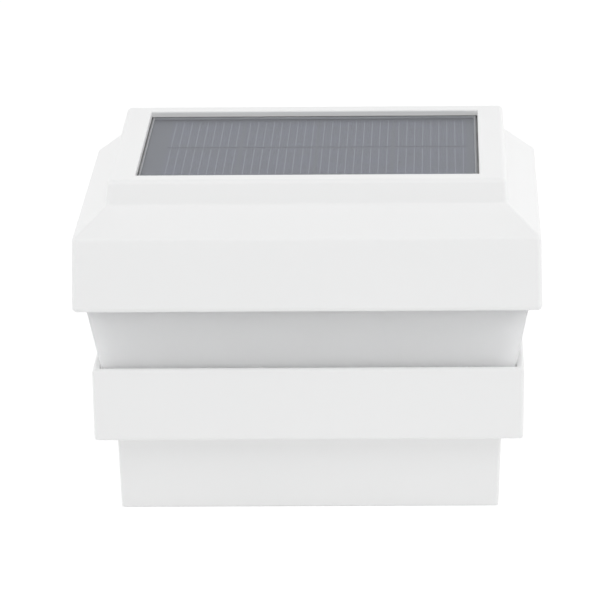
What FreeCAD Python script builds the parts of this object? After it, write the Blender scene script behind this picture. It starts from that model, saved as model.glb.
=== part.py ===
import FreeCAD, Part
import math
import os
import re

import Sketcher

# Solar light that caps a square deck post. Three white mouldings show from outside: a hipped lid
# with the solar panel let into its top, a frosted lens that widens upward, and a base whose collar
# takes the lens and whose skirt goes over the post. A sealed light module hangs under the lid.
# Origin: centre of the skirt's bottom rim, on the surface the light stands on. +Z is up, the front
# faces -Y. All lengths are millimetres and all angles degrees.

Vector = FreeCAD.Vector
document = FreeCAD.newDocument("PostCapLight")
pieces = []
owner = {}


# ---------------------------------------------------------------- sizes

# Base: the skirt slides over the post, the collar above it is an open tray for the lens foot.
base_sizes = {
    "post_width": 101.6,
    "post_clearance": 0.5,
    "skirt_height": 22.33,
    "skirt_wall": 2.4,
    "skirt_flare": 1.85,
    "socket_draw": 0.4,
    "collar_overhang": 6.475,
    "collar_flare": 0.8,
    "collar_height": 21.79,
    "collar_wall": 2.25,
    "floor_thickness": 2.5,
    "base_edge_radius": 1.0,
    "foot_edge_radius": 0.6,
    "rim_inner_radius": 0.5,
    "centring_rib_reach": 2.7,
    "centring_rib_thickness": 1.6,
    "centring_rib_spread": 32.0,
    "centring_rib_start": 2.0,
    "side_pad_width": 12.0,
    "side_hole_radius": 2.1,
    "side_hole_height": 11.0,
    "seat_rib_thickness": 2.0,
    "seat_rib_spread": 36.0,
    "seat_rib_reach": 0.9,
}

# Lens: a square frustum whose foot drops into the collar and whose flange is screwed to the lid.
lens_sizes = {
    "lens_clearance": 0.3,
    "lens_foot_depth": 6.1,
    "lens_visible_height": 18.44,
    "lens_tuck": 5.5,
    "lens_flare": 11.8,
    "lens_wall": 2.0,
    "lens_flange_thickness": 2.0,
    "lens_flange_gap": 4.0,
    "lens_edge_radius": 0.9,
    "lens_side_gap": 0.15,
    "lens_boss_inset": 6.15,
    "lens_boss_radius": 3.2,
    "lens_boss_height": 19.5,
    "lens_boss_rib": 1.5,
    "lens_screw_length": 9.0,
    "lens_screw_radius": 1.4,
    "lens_screw_head_radius": 2.7,
    "lens_screw_head_height": 1.9,
}

# Lid: fascia, hip slope and raised plate in one moulding, with a stepped well for the solar panel.
lid_sizes = {
    "fascia_flare": 0.6,
    "fascia_height": 21.98,
    "slope_height": 8.41,
    "hip_run": 9.7,
    "plate_taper": 0.9,
    "plate_height": 7.42,
    "rim_width": 7.95,
    "lid_wall": 2.4,
    "lid_edge_radius": 1.5,
    "window_edge_radius": 0.5,
    "well_wall": 2.4,
    "ledge_width": 4.1,
    "ledge_thickness": 2.0,
    "ledge_pad_width": 12.5,
}

# Solar panel: sealing bead, backing board, rows of cells that leave blank margins, clear cover.
panel_sizes = {
    "panel_recess": 1.8,
    "panel_clearance": 0.35,
    "panel_drift": -0.15,
    "cover_thickness": 0.8,
    "cell_thickness": 0.3,
    "panel_board_thickness": 1.6,
    "sealant_thickness": 0.3,
    "sealant_inset": 0.8,
    "cell_columns": 4.0,
    "cell_rows": 2.0,
    "cell_margin_left": 6.7,
    "cell_margin_right": 2.9,
    "cell_margin_front": 11.15,
    "cell_margin_back": 4.35,
    "cell_gap_across": 0.9,
    "cell_gap_along": 2.0,
}

# Light module: a tray sealed against the ledge by a foam gasket, with a battery bay in its middle.
module_sizes = {
    "gasket_thickness": 0.5,
    "tray_inset": 3.5,
    "tray_height": 25.3,
    "tray_wall": 1.8,
    "tray_edge_radius": 0.8,
    "pillar_inset": 5.4,
    "pillar_radius": 3.8,
    "pillar_height": 14.0,
    "counterbore_radius": 3.0,
    "counterbore_depth": 6.0,
    "module_screw_length": 16.0,
    "module_screw_radius": 1.4,
    "module_screw_head_radius": 2.7,
    "module_screw_head_height": 2.0,
    "module_boss_radius": 3.0,
    "screw_hole_gap": 0.25,
    "pilot_hole_gap": 0.04,
    "pilot_hole_spare": 1.0,
    "screw_tip_length": 1.2,
    "screw_head_bevel": 0.6,
    "recess_width": 0.8,
    "recess_length": 3.0,
    "recess_depth": 1.1,
}

# Battery bay, its cells, contacts and the hinged door that closes it from below.
battery_sizes = {
    "cell_length": 50.5,
    "can_radius": 7.0,
    "nub_radius": 2.75,
    "nub_length": 1.0,
    "sleeve_thickness": 0.22,
    "sleeve_gap": 0.03,
    "sleeve_end": 0.6,
    "cell_gap": 1.0,
    "bay_side_gap": 0.5,
    "bay_wall": 1.5,
    "bay_headroom": 0.5,
    "battery_lift": 1.8,
    "contact_thickness": 0.4,
    "contact_height": 11.0,
    "contact_width": 12.0,
    "tab_width": 3.0,
    "tab_reach": 2.2,
    "tab_lift": 2.0,
    "tab_play": 0.1,
    "spring_length": 6.7,
    "spring_wire_radius": 0.4,
    "spring_base_radius": 4.6,
    "spring_tip_radius": 2.6,
    "spring_turns": 4.0,
    "door_gap": 0.25,
    "barrel_radius": 1.4,
    "hinge_pin_radius": 0.7,
    "hinge_pin_play": 0.06,
    "hinge_pin_length": 1.3,
    "tongue_width": 12.0,
    "tongue_length": 7.0,
    "tongue_slot": 0.8,
    "tongue_upstand": 2.2,
    "tongue_thickness": 1.0,
    "door_stop_spread": 23.0,
    "door_stop_width": 6.0,
    "door_stop_reach": 1.4,
    "door_stop_height": 1.5,
    "grip_count": 3.0,
    "grip_pitch": 2.2,
    "grip_width": 8.0,
    "grip_thickness": 1.0,
    "grip_height": 0.5,
    "foam_length": 40.0,
    "foam_width": 18.0,
    "foam_thickness": 1.5,
}

# Circuit board, what is soldered to it, and the on/off slide switch.
board_sizes = {
    "pcb_inset": 10.0,
    "pcb_thickness": 1.6,
    "pcb_lift": 4.7,
    "pcb_bay_gap": 0.5,
    "post_inset_across": 4.0,
    "post_inset_along": 6.0,
    "post_radius": 2.4,
    "board_screw_length": 4.0,
    "board_screw_radius": 0.9,
    "board_screw_head_radius": 1.9,
    "board_screw_head_height": 1.3,
    "led_across": 11.0,
    "led_inset": 4.5,
    "led_radius": 2.5,
    "led_flange_radius": 2.9,
    "led_flange_thickness": 1.0,
    "led_straight_length": 6.1,
    "led_hole_gap": 0.2,
    "part_row_gap": 9.5,
    "chip_across": -22.0,
    "chip_length": 4.9,
    "chip_width": 3.9,
    "chip_height": 1.5,
    "coil_across": 21.0,
    "coil_radius": 4.0,
    "coil_neck_radius": 2.6,
    "coil_height": 5.0,
    "coil_flange": 1.0,
    "coil_winding_radius": 3.5,
    "coil_winding_gap": 0.05,
    "capacitor_across": -13.0,
    "capacitor_radius": 2.5,
    "capacitor_height": 7.0,
    "resistor_across": 8.0,
    "resistor_row_gap": 6.5,
    "resistor_pitch": 2.4,
    "resistor_count": 4.0,
    "resistor_length": 2.0,
    "resistor_width": 1.25,
    "resistor_height": 0.5,
    "switch_across": 20.0,
    "switch_inset": 10.0,
    "switch_length": 8.6,
    "switch_width": 4.4,
    "switch_gap": 0.2,
    "switch_slot_depth": 2.5,
    "switch_travel": 2.5,
    "switch_play": 0.1,
    "knob_length": 2.0,
    "knob_width": 1.8,
    "knob_foot": 2.2,
    "knob_proud": 0.8,
    "floor_slot_gap": 0.4,
    "lead_radius": 0.6,
    "lead_spread": 4.0,
    "lead_inset": 6.0,
    "lead_sway": 7.0,
    "lead_drop": 5.7,
    "lead_rise": 6.8,
}


# Places worked out from the sizes: levels above the origin, and widths that several pieces share.
place_formulas = {
    "skirt_width_low": "post_width + 2 * (post_clearance + centring_rib_reach + skirt_wall)",
    "skirt_width_high": "skirt_width_low + skirt_flare",
    "socket_width": "skirt_width_low - 2 * skirt_wall",
    "collar_width_low": "skirt_width_high + 2 * collar_overhang",
    "collar_width_high": "collar_width_low + collar_flare",
    "collar_top": "skirt_height + collar_height",
    "floor_top": "skirt_height + floor_thickness",
    "post_half": "post_width / 2 + post_clearance",
    "skirt_half": "skirt_width_low / 2 - skirt_wall / 2",
    "collar_half": "collar_width_low / 2 - collar_wall / 2",
    "lens_rim_half": "collar_width_high / 2 - collar_wall - lens_clearance",
    "lens_bottom": "collar_top - lens_foot_depth",
    "fascia_bottom": "collar_top + lens_visible_height",
    "lens_top": "fascia_bottom + lens_tuck",
    "lens_flange_low": "lens_top - lens_flange_thickness",
    "lens_skin": "lens_wall / cos(lens_flare)",
    "lens_half_low": "lens_rim_half - lens_foot_depth * tan(lens_flare)",
    "lens_half_high": "lens_rim_half + (lens_top - collar_top) * tan(lens_flare)",
    "lens_half_flange": "lens_half_high - lens_flange_thickness * tan(lens_flare)",
    "lens_boss_spread": "lens_half_high - lens_boss_inset",
    "fascia_inner_half": "lens_half_high + lens_side_gap",
    "fascia_width_high": "2 * (fascia_inner_half + lid_wall)",
    "fascia_width_low": "fascia_width_high + fascia_flare",
    "plate_width_low": "fascia_width_high - 2 * hip_run",
    "plate_width_high": "plate_width_low - plate_taper",
    "window_width": "plate_width_high - 2 * rim_width",
    "fascia_top": "fascia_bottom + fascia_height",
    "plate_foot": "fascia_top + slope_height",
    "plate_top": "plate_foot + plate_height",
    "hip_length": "sqrt(hip_run ^ 2 + slope_height ^ 2)",
    "hip_drop": "lid_wall * (hip_length - slope_height) / hip_run",
    "window_half": "window_width / 2",
    "well_half": "window_half + well_wall",
    "ledge_half": "window_half - ledge_width",
    "panel_width": "window_width - 2 * panel_clearance",
    "panel_top": "plate_top - panel_recess",
    "cells_left": "panel_drift - panel_width / 2 + cell_margin_left",
    "cells_front": "cell_margin_front - panel_width / 2",
    "cells_across": "panel_width - cell_margin_left - cell_margin_right + cell_gap_across",
    "cells_along": "panel_width - cell_margin_front - cell_margin_back + cell_gap_along",
    "cell_pitch_across": "cells_across / cell_columns",
    "cell_pitch_along": "cells_along / cell_rows",
    "cover_low": "panel_top - cover_thickness",
    "board_low": "cover_low - panel_board_thickness",
    "ledge_top": "board_low - sealant_thickness",
    "ledge_low": "ledge_top - ledge_thickness",
    "tray_half": "well_half - tray_inset",
    "tray_width": "2 * tray_half",
    "pillar_spread": "tray_half - pillar_inset",
    "tray_top": "ledge_low - gasket_thickness",
    "tray_low": "tray_top - tray_height",
    "tray_floor": "tray_low + tray_wall",
    "pillar_top": "tray_floor + pillar_height",
    "module_screw_seat": "tray_low + counterbore_depth",
    "module_pilot_top": "module_screw_seat + module_screw_length + pilot_hole_spare",
    "lens_pilot_top": "lens_flange_low + lens_screw_length + pilot_hole_spare",
    "flange_half": "tray_half + lens_flange_gap",
    "sleeve_radius": "can_radius + sleeve_gap + sleeve_thickness",
    "cell_side": "sleeve_radius + cell_gap / 2",
    "bay_half": "(cell_length + spring_length) / 2 + contact_thickness",
    "bay_half_width": "cell_side + sleeve_radius + bay_side_gap",
    "bay_outer": "bay_half + bay_wall",
    "bay_outer_width": "bay_half_width + bay_wall",
    "battery_level": "tray_floor + battery_lift + sleeve_radius",
    "bay_roof": "battery_level + sleeve_radius + bay_headroom",
    "contact_face": "bay_half - contact_thickness",
    "cell_back": "contact_face - cell_length",
    "contact_low": "battery_level - contact_height / 2",
    "tab_level": "battery_level + tab_lift",
    "tab_tip": "bay_outer + tab_reach",
    "door_half": "bay_half - door_gap",
    "door_free": "door_gap - bay_half_width",
    "hinge_along": "bay_half_width - door_gap - barrel_radius",
    "hinge_level": "tray_low + barrel_radius",
    "pcb_low": "tray_floor + pcb_lift",
    "pcb_top": "pcb_low + pcb_thickness",
    "pcb_hole_half": "bay_outer + pcb_bay_gap",
    "pcb_hole_half_width": "bay_outer_width + pcb_bay_gap",
    "pcb_half": "tray_half - pcb_inset",
    "post_spread_across": "pcb_half - post_inset_across",
    "post_spread_along": "pcb_half - post_inset_along",
    "led_shoulder": "pcb_low - led_straight_length",
    "led_along": "pcb_half - led_inset",
    "part_row": "pcb_hole_half_width + part_row_gap",
    "resistor_row": "pcb_hole_half_width + resistor_row_gap",
    "lead_foot_along": "pcb_half - lead_inset",
    "lead_top_along": "lead_foot_along - lead_sway",
    "switch_along": "switch_inset - pcb_half",
    "switch_low": "tray_floor + switch_gap",
    "knob_across": "switch_across - switch_travel / 2",
    "knob_top": "switch_low + knob_foot",
}


def make_sheet(name, cells):
    """Put one size or formula in each cell of a new sheet, with its word as the alias."""
    sheet = document.addObject("Spreadsheet::Sheet", name)
    for row, (alias, content) in enumerate(cells.items(), start=1):
        sheet.set(f"A{row}", alias)
        sheet.set(f"B{row}", str(content))
        sheet.setAlias(f"B{row}", alias)
        owner[alias] = name
    return sheet


def linked(formula, inside=None):
    """Name the sheet in front of every alias that a formula uses."""

    def with_sheet(match):
        word = match.group()
        home = owner.get(word)
        return word if home in (None, inside) else f"{home}.{word}"

    return re.sub(r"[a-z][a-z_0-9]*", with_sheet, formula)


def size(alias):
    """Read one cell as a number of millimetres or degrees."""
    return float(document.getObject(owner[alias]).get(alias))


def make_all_sheets():
    groups = (base_sizes, lens_sizes, lid_sizes, panel_sizes, module_sizes, battery_sizes, board_sizes)
    driving = {}
    for group in groups:
        driving.update(group)
    make_sheet("Sizes", driving)
    for alias in place_formulas:
        owner[alias] = "Places"
    formulas = {}
    for alias, formula in place_formulas.items():
        formulas[alias] = "=" + linked(formula, inside="Places")
    make_sheet("Places", formulas)
    document.recompute()


# ---------------------------------------------------------------- building blocks

upright = FreeCAD.Rotation()
lying_along_x = FreeCAD.Rotation(Vector(0, 1, 0), 90)
facing_front = FreeCAD.Rotation(Vector(1, 0, 0), 90)


def new_body(name):
    body = document.addObject("PartDesign::Body", name)
    body.Label = name
    body.AllowCompound = True
    pieces.append(body)
    return body


def origin_item(body, role):
    return next(item for item in body.Origin.OriginFeatures if item.Role == role)


def bind(feature, **formulas):
    for path, formula in formulas.items():
        feature.setExpression(path, linked(formula))


def attach(feature, body, x, y, z, turn=upright):
    """Lay a feature on the body's XY plane, moved to x, y, z."""
    feature.AttachmentSupport = [(origin_item(body, "XY_Plane"), "")]
    feature.MapMode = "FlatFace"
    feature.AttachmentOffset = FreeCAD.Placement(Vector(), turn)
    for axis, formula in zip("xyz", (x, y, z)):
        feature.setExpression(f".AttachmentOffset.Base.{axis}", linked(formula))


def new_feature(body, shape, name, cut):
    kind = "Subtractive" if cut else "Additive"
    return body.newObject(f"PartDesign::{kind}{shape}", name)


def frustum(body, name, z, low, high, cut=False):
    """Square frustum about the Z axis, low wide at the first level of z and high wide at the second."""
    wedge = new_feature(body, "Wedge", name, cut)
    attach(wedge, body, "0", "0", z[0], facing_front)
    bind(wedge, Ymin="0", Ymax=f"({z[1]}) - ({z[0]})")
    for side, sign in (("min", "-"), ("max", "+")):
        bind(wedge, **{f"X{side}": f"{sign}({low}) / 2", f"Z{side}": f"{sign}({low}) / 2"})
        bind(wedge, **{f"X2{side}": f"{sign}({high}) / 2", f"Z2{side}": f"{sign}({high}) / 2"})
    return wedge


def block(body, name, x, y, z, cut=False):
    """Box between two values of x, y and z."""
    box = new_feature(body, "Box", name, cut)
    attach(box, body, x[0], y[0], z[0])
    for length, (low, high) in zip(("Length", "Width", "Height"), (x, y, z)):
        box.setExpression(length, linked(f"({high}) - ({low})"))
    return box


def rod(body, name, x, y, z, radius, cut=False):
    """Upright cylinder between two levels."""
    cylinder = new_feature(body, "Cylinder", name, cut)
    attach(cylinder, body, x, y, z[0])
    bind(cylinder, Radius=radius, Height=f"({z[1]}) - ({z[0]})")
    return cylinder


def rod_along_x(body, name, x, y, z, radius, cut=False):
    """Lying cylinder between two values of x."""
    cylinder = new_feature(body, "Cylinder", name, cut)
    attach(cylinder, body, x[0], y, z, lying_along_x)
    bind(cylinder, Radius=radius, Height=f"({x[1]}) - ({x[0]})")
    return cylinder


def centred(formula, half):
    """Two ends of a span, half each way from its middle."""
    return f"({formula}) - ({half})", f"({formula}) + ({half})"


def around(body, name, originals, count=4):
    """Repeat features evenly about the Z axis."""
    pattern = body.newObject("PartDesign::PolarPattern", name)
    pattern.Originals = originals
    pattern.Axis = (origin_item(body, "Z_Axis"), [""])
    pattern.Angle = 360
    pattern.Occurrences = count
    body.Tip = pattern
    return pattern


def mirrored(body, name, originals, plane):
    """Repeat features on the other side of an origin plane."""
    mirror = body.newObject("PartDesign::Mirrored", name)
    mirror.Originals = originals
    mirror.MirrorPlane = (origin_item(body, plane), [""])
    body.Tip = mirror
    return mirror


def round_edges(body, name, radius, chosen):
    """Fillet the edges of the body so far for which chosen(middle, edge) is true."""
    document.recompute()
    base = body.Tip
    names = []
    for number, edge in enumerate(base.Shape.Edges, start=1):
        middle = edge.valueAt((edge.FirstParameter + edge.LastParameter) / 2)
        if chosen(middle, edge):
            names.append(f"Edge{number}")
    fillet = body.newObject("PartDesign::Fillet", name)
    fillet.Base = (base, names)
    bind(fillet, Radius=radius)
    body.Tip = fillet
    return fillet


def same(first, second):
    return abs(first - second) < 0.01


def reach(point):
    """Distance of a point from the Z axis, measured square to the nearest pair of sides."""
    return max(abs(point.x), abs(point.y))


def add_rectangle(sketch, width, depth, name):
    """Rectangle about the sketch's origin, held by its width and depth."""
    corners = [Vector(-9, -7), Vector(9, -7), Vector(9, 7), Vector(-9, 7)]
    first = sketch.GeometryCount
    for index, corner in enumerate(corners):
        sketch.addGeometry(Part.LineSegment(corner, corners[(index + 1) % 4]))
    for index in range(4):
        sketch.addConstraint(Sketcher.Constraint("Coincident", first + index, 2, first + (index + 1) % 4, 1))
    for index, direction in enumerate(("Horizontal", "Vertical", "Horizontal", "Vertical")):
        sketch.addConstraint(Sketcher.Constraint(direction, first + index))
    sketch.addConstraint(Sketcher.Constraint("Symmetric", first, 1, first + 1, 2, -1, 1))
    across = sketch.addConstraint(Sketcher.Constraint("DistanceX", first, 1, first, 2, 18.0))
    along = sketch.addConstraint(Sketcher.Constraint("DistanceY", first + 1, 1, first + 1, 2, 14.0))
    sketch.renameConstraint(across, name + "_width")
    sketch.renameConstraint(along, name + "_depth")
    sketch.setExpression(f"Constraints.{name}_width", linked(width))
    sketch.setExpression(f"Constraints.{name}_depth", linked(depth))


def sheet_plate(body, name, z, outer, hole=None, x="0", y="0"):
    """Flat plate between two levels, padded from a sketched outline with an optional hole."""
    sketch = body.newObject("Sketcher::SketchObject", name + "_outline")
    attach(sketch, body, x, y, z[0])
    add_rectangle(sketch, *outer, "outer")
    if hole:
        add_rectangle(sketch, *hole, "hole")
    pad = body.newObject("PartDesign::Pad", name)
    pad.Profile = sketch
    bind(pad, Length=f"({z[1]}) - ({z[0]})")
    return pad


def turned(body, name, x, y, profile):
    """Turn a closed profile of (radius, level) corners about an upright axis at x, y."""
    sketch = body.newObject("Sketcher::SketchObject", name + "_profile")
    attach(sketch, body, x, y, "0", facing_front)
    count = len(profile)
    for index in range(count):
        start = Vector(index % 3 + 1, index + 1)
        end = Vector((index + 1) % count % 3 + 1, (index + 1) % count + 1)
        sketch.addGeometry(Part.LineSegment(start, end))
    for index in range(count):
        sketch.addConstraint(Sketcher.Constraint("Coincident", index, 2, (index + 1) % count, 1))
    for index, (radius, level) in enumerate(profile):
        if radius == "0":
            sketch.addConstraint(Sketcher.Constraint("PointOnObject", index, 1, -2))
        else:
            held = sketch.addConstraint(Sketcher.Constraint("DistanceX", -1, 1, index, 1, 1.0 + index % 3))
            sketch.renameConstraint(held, f"radius_{index}")
            sketch.setExpression(f"Constraints.radius_{index}", linked(radius))
        held = sketch.addConstraint(Sketcher.Constraint("DistanceY", -1, 1, index, 1, 1.0 + index))
        sketch.renameConstraint(held, f"level_{index}")
        sketch.setExpression(f"Constraints.level_{index}", linked(level))
    revolution = body.newObject("PartDesign::Revolution", name)
    revolution.Profile = sketch
    revolution.ReferenceAxis = (sketch, ["V_Axis"])
    revolution.Angle = 360
    return revolution


def shaped_piece(name, shape):
    """Keep a shape worked out here as a piece of its own."""
    feature = document.addObject("Part::Feature", name)
    feature.Label = name
    feature.Shape = shape
    feature.Placement = FreeCAD.Placement()
    pieces.append(feature)
    return feature


# ---------------------------------------------------------------- base

def make_post_base():
    body = new_body("post_base")
    frustum(body, "skirt", ("0", "skirt_height"), "skirt_width_low", "skirt_width_high")
    frustum(body, "collar", ("skirt_height", "collar_top"), "collar_width_low", "collar_width_high")
    inside_step = size("collar_width_low") / 2 - size("base_edge_radius")

    def outer_edge(middle, edge):
        under_collar = same(middle.z, size("skirt_height")) and reach(middle) < inside_step
        return not same(middle.z, 0) and not under_collar

    round_edges(body, "outer_edges", "base_edge_radius", outer_edge)
    round_edges(body, "foot_edges", "foot_edge_radius", lambda middle, edge: same(middle.z, 0))
    frustum(
        body, "post_socket", ("0", "skirt_height"), "socket_width", "socket_width - socket_draw", cut=True,
    )
    frustum(
        body, "lens_well", ("floor_top", "collar_top"),
        "collar_width_low - 2 * collar_wall", "collar_width_high - 2 * collar_wall", cut=True,
    )
    well_half = size("collar_width_high") / 2 - size("collar_wall")

    def inner_rim(middle, edge):
        return same(middle.z, size("collar_top")) and same(reach(middle), well_half)

    round_edges(body, "inner_rim", "rim_inner_radius", inner_rim)

    # Ribs that centre the post in the skirt, two on each wall.
    ribs = []
    for side, sign in (("left", "-"), ("right", "")):
        along = centred(f"{sign}centring_rib_spread", "centring_rib_thickness / 2")
        rise = ("centring_rib_start", "floor_top")
        ribs.append(block(body, f"centring_rib_{side}", ("post_half", "skirt_half"), along, rise))
    around(body, "centring_ribs", ribs)

    # Pads with a screw hole, on the left and right walls, that hold the base on the post.
    pad = block(
        body, "side_pad", ("post_half", "skirt_half"), centred("0", "side_pad_width / 2"),
        centred("side_hole_height", "side_pad_width / 2"),
    )
    around(body, "side_pads", [pad], 2)
    rod_along_x(
        body, "side_holes", centred("0", "skirt_width_high / 2 + skirt_wall"), "0", "side_hole_height",
        "side_hole_radius", cut=True,
    )

    # Ribs on the floor that the lens foot stands on, two on each wall.
    ribs = []
    for side, sign in (("left", "-"), ("right", "")):
        across = ("lens_half_low - lens_skin - seat_rib_reach", "collar_half")
        along = centred(f"{sign}seat_rib_spread", "seat_rib_thickness / 2")
        rise = ("floor_top - floor_thickness / 2", "lens_bottom")
        ribs.append(block(body, f"seat_rib_{side}", across, along, rise))
    around(body, "seat_ribs", ribs)


# ---------------------------------------------------------------- lens

def make_lens():
    body = new_body("lens")
    frustum(body, "lens_outside", ("lens_bottom", "lens_top"), "2 * lens_half_low", "2 * lens_half_high")
    low = size("lens_bottom")
    high = size("lens_top")
    round_edges(body, "corners", "lens_edge_radius", lambda middle, edge: low + 1 < middle.z < high - 1)
    frustum(
        body, "lens_inside", ("lens_bottom", "lens_flange_low"),
        "2 * (lens_half_low - lens_skin)", "2 * (lens_half_flange - lens_skin)", cut=True,
    )
    frustum(
        body, "module_opening", ("lens_flange_low - lens_wall", "lens_top"), "2 * flange_half",
        "2 * flange_half", cut=True,
    )
    hole = rod(
        body, "flange_hole", "lens_boss_spread", "lens_boss_spread", ("lens_flange_low", "lens_top"),
        "lens_screw_radius + screw_hole_gap", cut=True,
    )
    around(body, "flange_holes", [hole])


# ---------------------------------------------------------------- lid and solar panel

def make_lid_shell():
    body = new_body("lid_shell")
    frustum(body, "fascia", ("fascia_bottom", "fascia_top"), "fascia_width_low", "fascia_width_high")
    frustum(body, "hip_slope", ("fascia_top", "plate_foot"), "fascia_width_high", "plate_width_low")
    frustum(body, "plate", ("plate_foot", "plate_top"), "plate_width_low", "plate_width_high")
    round_edges(body, "outer_edges", "lid_edge_radius", lambda middle, edge: True)

    # The hollow follows the outside, one wall thickness in.
    frustum(
        body, "fascia_hollow", ("fascia_bottom", "fascia_top - hip_drop"),
        "fascia_width_low - 2 * lid_wall", "fascia_width_high - 2 * lid_wall", cut=True,
    )
    frustum(
        body, "slope_hollow", ("fascia_top - hip_drop", "plate_foot - hip_drop"),
        "fascia_width_high - 2 * lid_wall", "plate_width_low - 2 * lid_wall", cut=True,
    )
    frustum(
        body, "plate_hollow", ("plate_foot - hip_drop", "plate_top - lid_wall"),
        "plate_width_low - 2 * lid_wall", "plate_width_high - 2 * lid_wall", cut=True,
    )

    # Stepped well for the solar panel: window above, ledge below.
    frustum(
        body, "well", ("ledge_low", "plate_top - lid_wall / 2"), "2 * well_half", "2 * well_half",
    )
    frustum(
        body, "window", ("ledge_top", "plate_top"), "window_width", "window_width", cut=True,
    )
    frustum(
        body, "ledge_opening", ("ledge_low", "plate_top"), "2 * ledge_half", "2 * ledge_half", cut=True,
    )

    def window_edge(middle, edge):
        return same(middle.z, size("plate_top")) and same(reach(middle), size("window_half"))

    round_edges(body, "window_edges", "window_edge_radius", window_edge)

    # Corner pads under the panel, each with a boss for a module screw.
    span = ("well_half - ledge_pad_width", "well_half")
    pad = block(body, "ledge_pad", span, span, ("ledge_low", "ledge_top"))
    boss = rod(
        body, "module_boss", "pillar_spread", "pillar_spread", ("pillar_top", "ledge_top"),
        "module_boss_radius",
    )
    pilot = rod(
        body, "module_pilot", "pillar_spread", "pillar_spread", ("pillar_top", "module_pilot_top"),
        "module_screw_radius + pilot_hole_gap", cut=True,
    )
    around(body, "module_bosses", [pad, boss, pilot])

    # Bosses for the lens screws in the fascia's corners, each tied to both walls by a rib.
    boss_rise = ("lens_top", "lens_top + lens_boss_height")
    rib_rise = ("lens_top + lens_boss_radius", "fascia_top - hip_drop")
    run = ("lens_boss_spread", "fascia_inner_half + lid_wall / 4")
    thick = centred("lens_boss_spread", "lens_boss_rib / 2")
    boss = rod(body, "lens_boss", "lens_boss_spread", "lens_boss_spread", boss_rise, "lens_boss_radius")
    rib_across = block(body, "lens_boss_rib_across", run, thick, rib_rise)
    rib_along = block(body, "lens_boss_rib_along", thick, run, rib_rise)
    pilot = rod(
        body, "lens_pilot", "lens_boss_spread", "lens_boss_spread", ("lens_top", "lens_pilot_top"),
        "lens_screw_radius + pilot_hole_gap", cut=True,
    )
    around(body, "lens_bosses", [boss, rib_across, rib_along, pilot])


def cell_spans(row, column):
    """Where one solar cell lies across and along the panel."""
    left = f"cells_left + cell_pitch_across * {column}"
    front = f"cells_front + cell_pitch_along * {row}"
    across = (left, f"{left} + cell_pitch_across - cell_gap_across")
    along = (front, f"{front} + cell_pitch_along - cell_gap_along")
    return across, along


def cell_places():
    """Row and column of every solar cell."""
    columns = range(int(size("cell_columns")))
    return [(row, column) for row in range(int(size("cell_rows"))) for column in columns]


def make_panel_sealant():
    body = new_body("panel_sealant")
    width = "panel_width - 2 * sealant_inset"
    hole = "2 * ledge_half"
    sheet_plate(body, "bead", ("ledge_top", "board_low"), (width, width), (hole, hole))


def make_panel_board():
    body = new_body("panel_board")
    outline = ("panel_width", "panel_width")
    sheet_plate(body, "laminate", ("board_low", "cover_low"), outline, x="panel_drift")


def make_solar_cells():
    body = new_body("solar_cells")
    for row, column in cell_places():
        across, along = cell_spans(row, column)
        block(body, f"cell_{row}_{column}", across, along, ("cover_low", "cover_low + cell_thickness"))


def make_panel_cover():
    body = new_body("panel_cover")
    outline = ("panel_width", "panel_width")
    sheet_plate(body, "clear_sheet", ("cover_low", "panel_top"), outline, x="panel_drift")
    for row, column in cell_places():
        across, along = cell_spans(row, column)
        depth = ("cover_low", "cover_low + cell_thickness")
        block(body, f"pocket_{row}_{column}", across, along, depth, cut=True)


# ---------------------------------------------------------------- light module

# Two diodes along the front of the circuit board and two along its back.
led_spots = [
    ("-led_across", "-led_along"),
    ("led_across", "-led_along"),
    ("-led_across", "led_along"),
    ("led_across", "led_along"),
]


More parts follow.
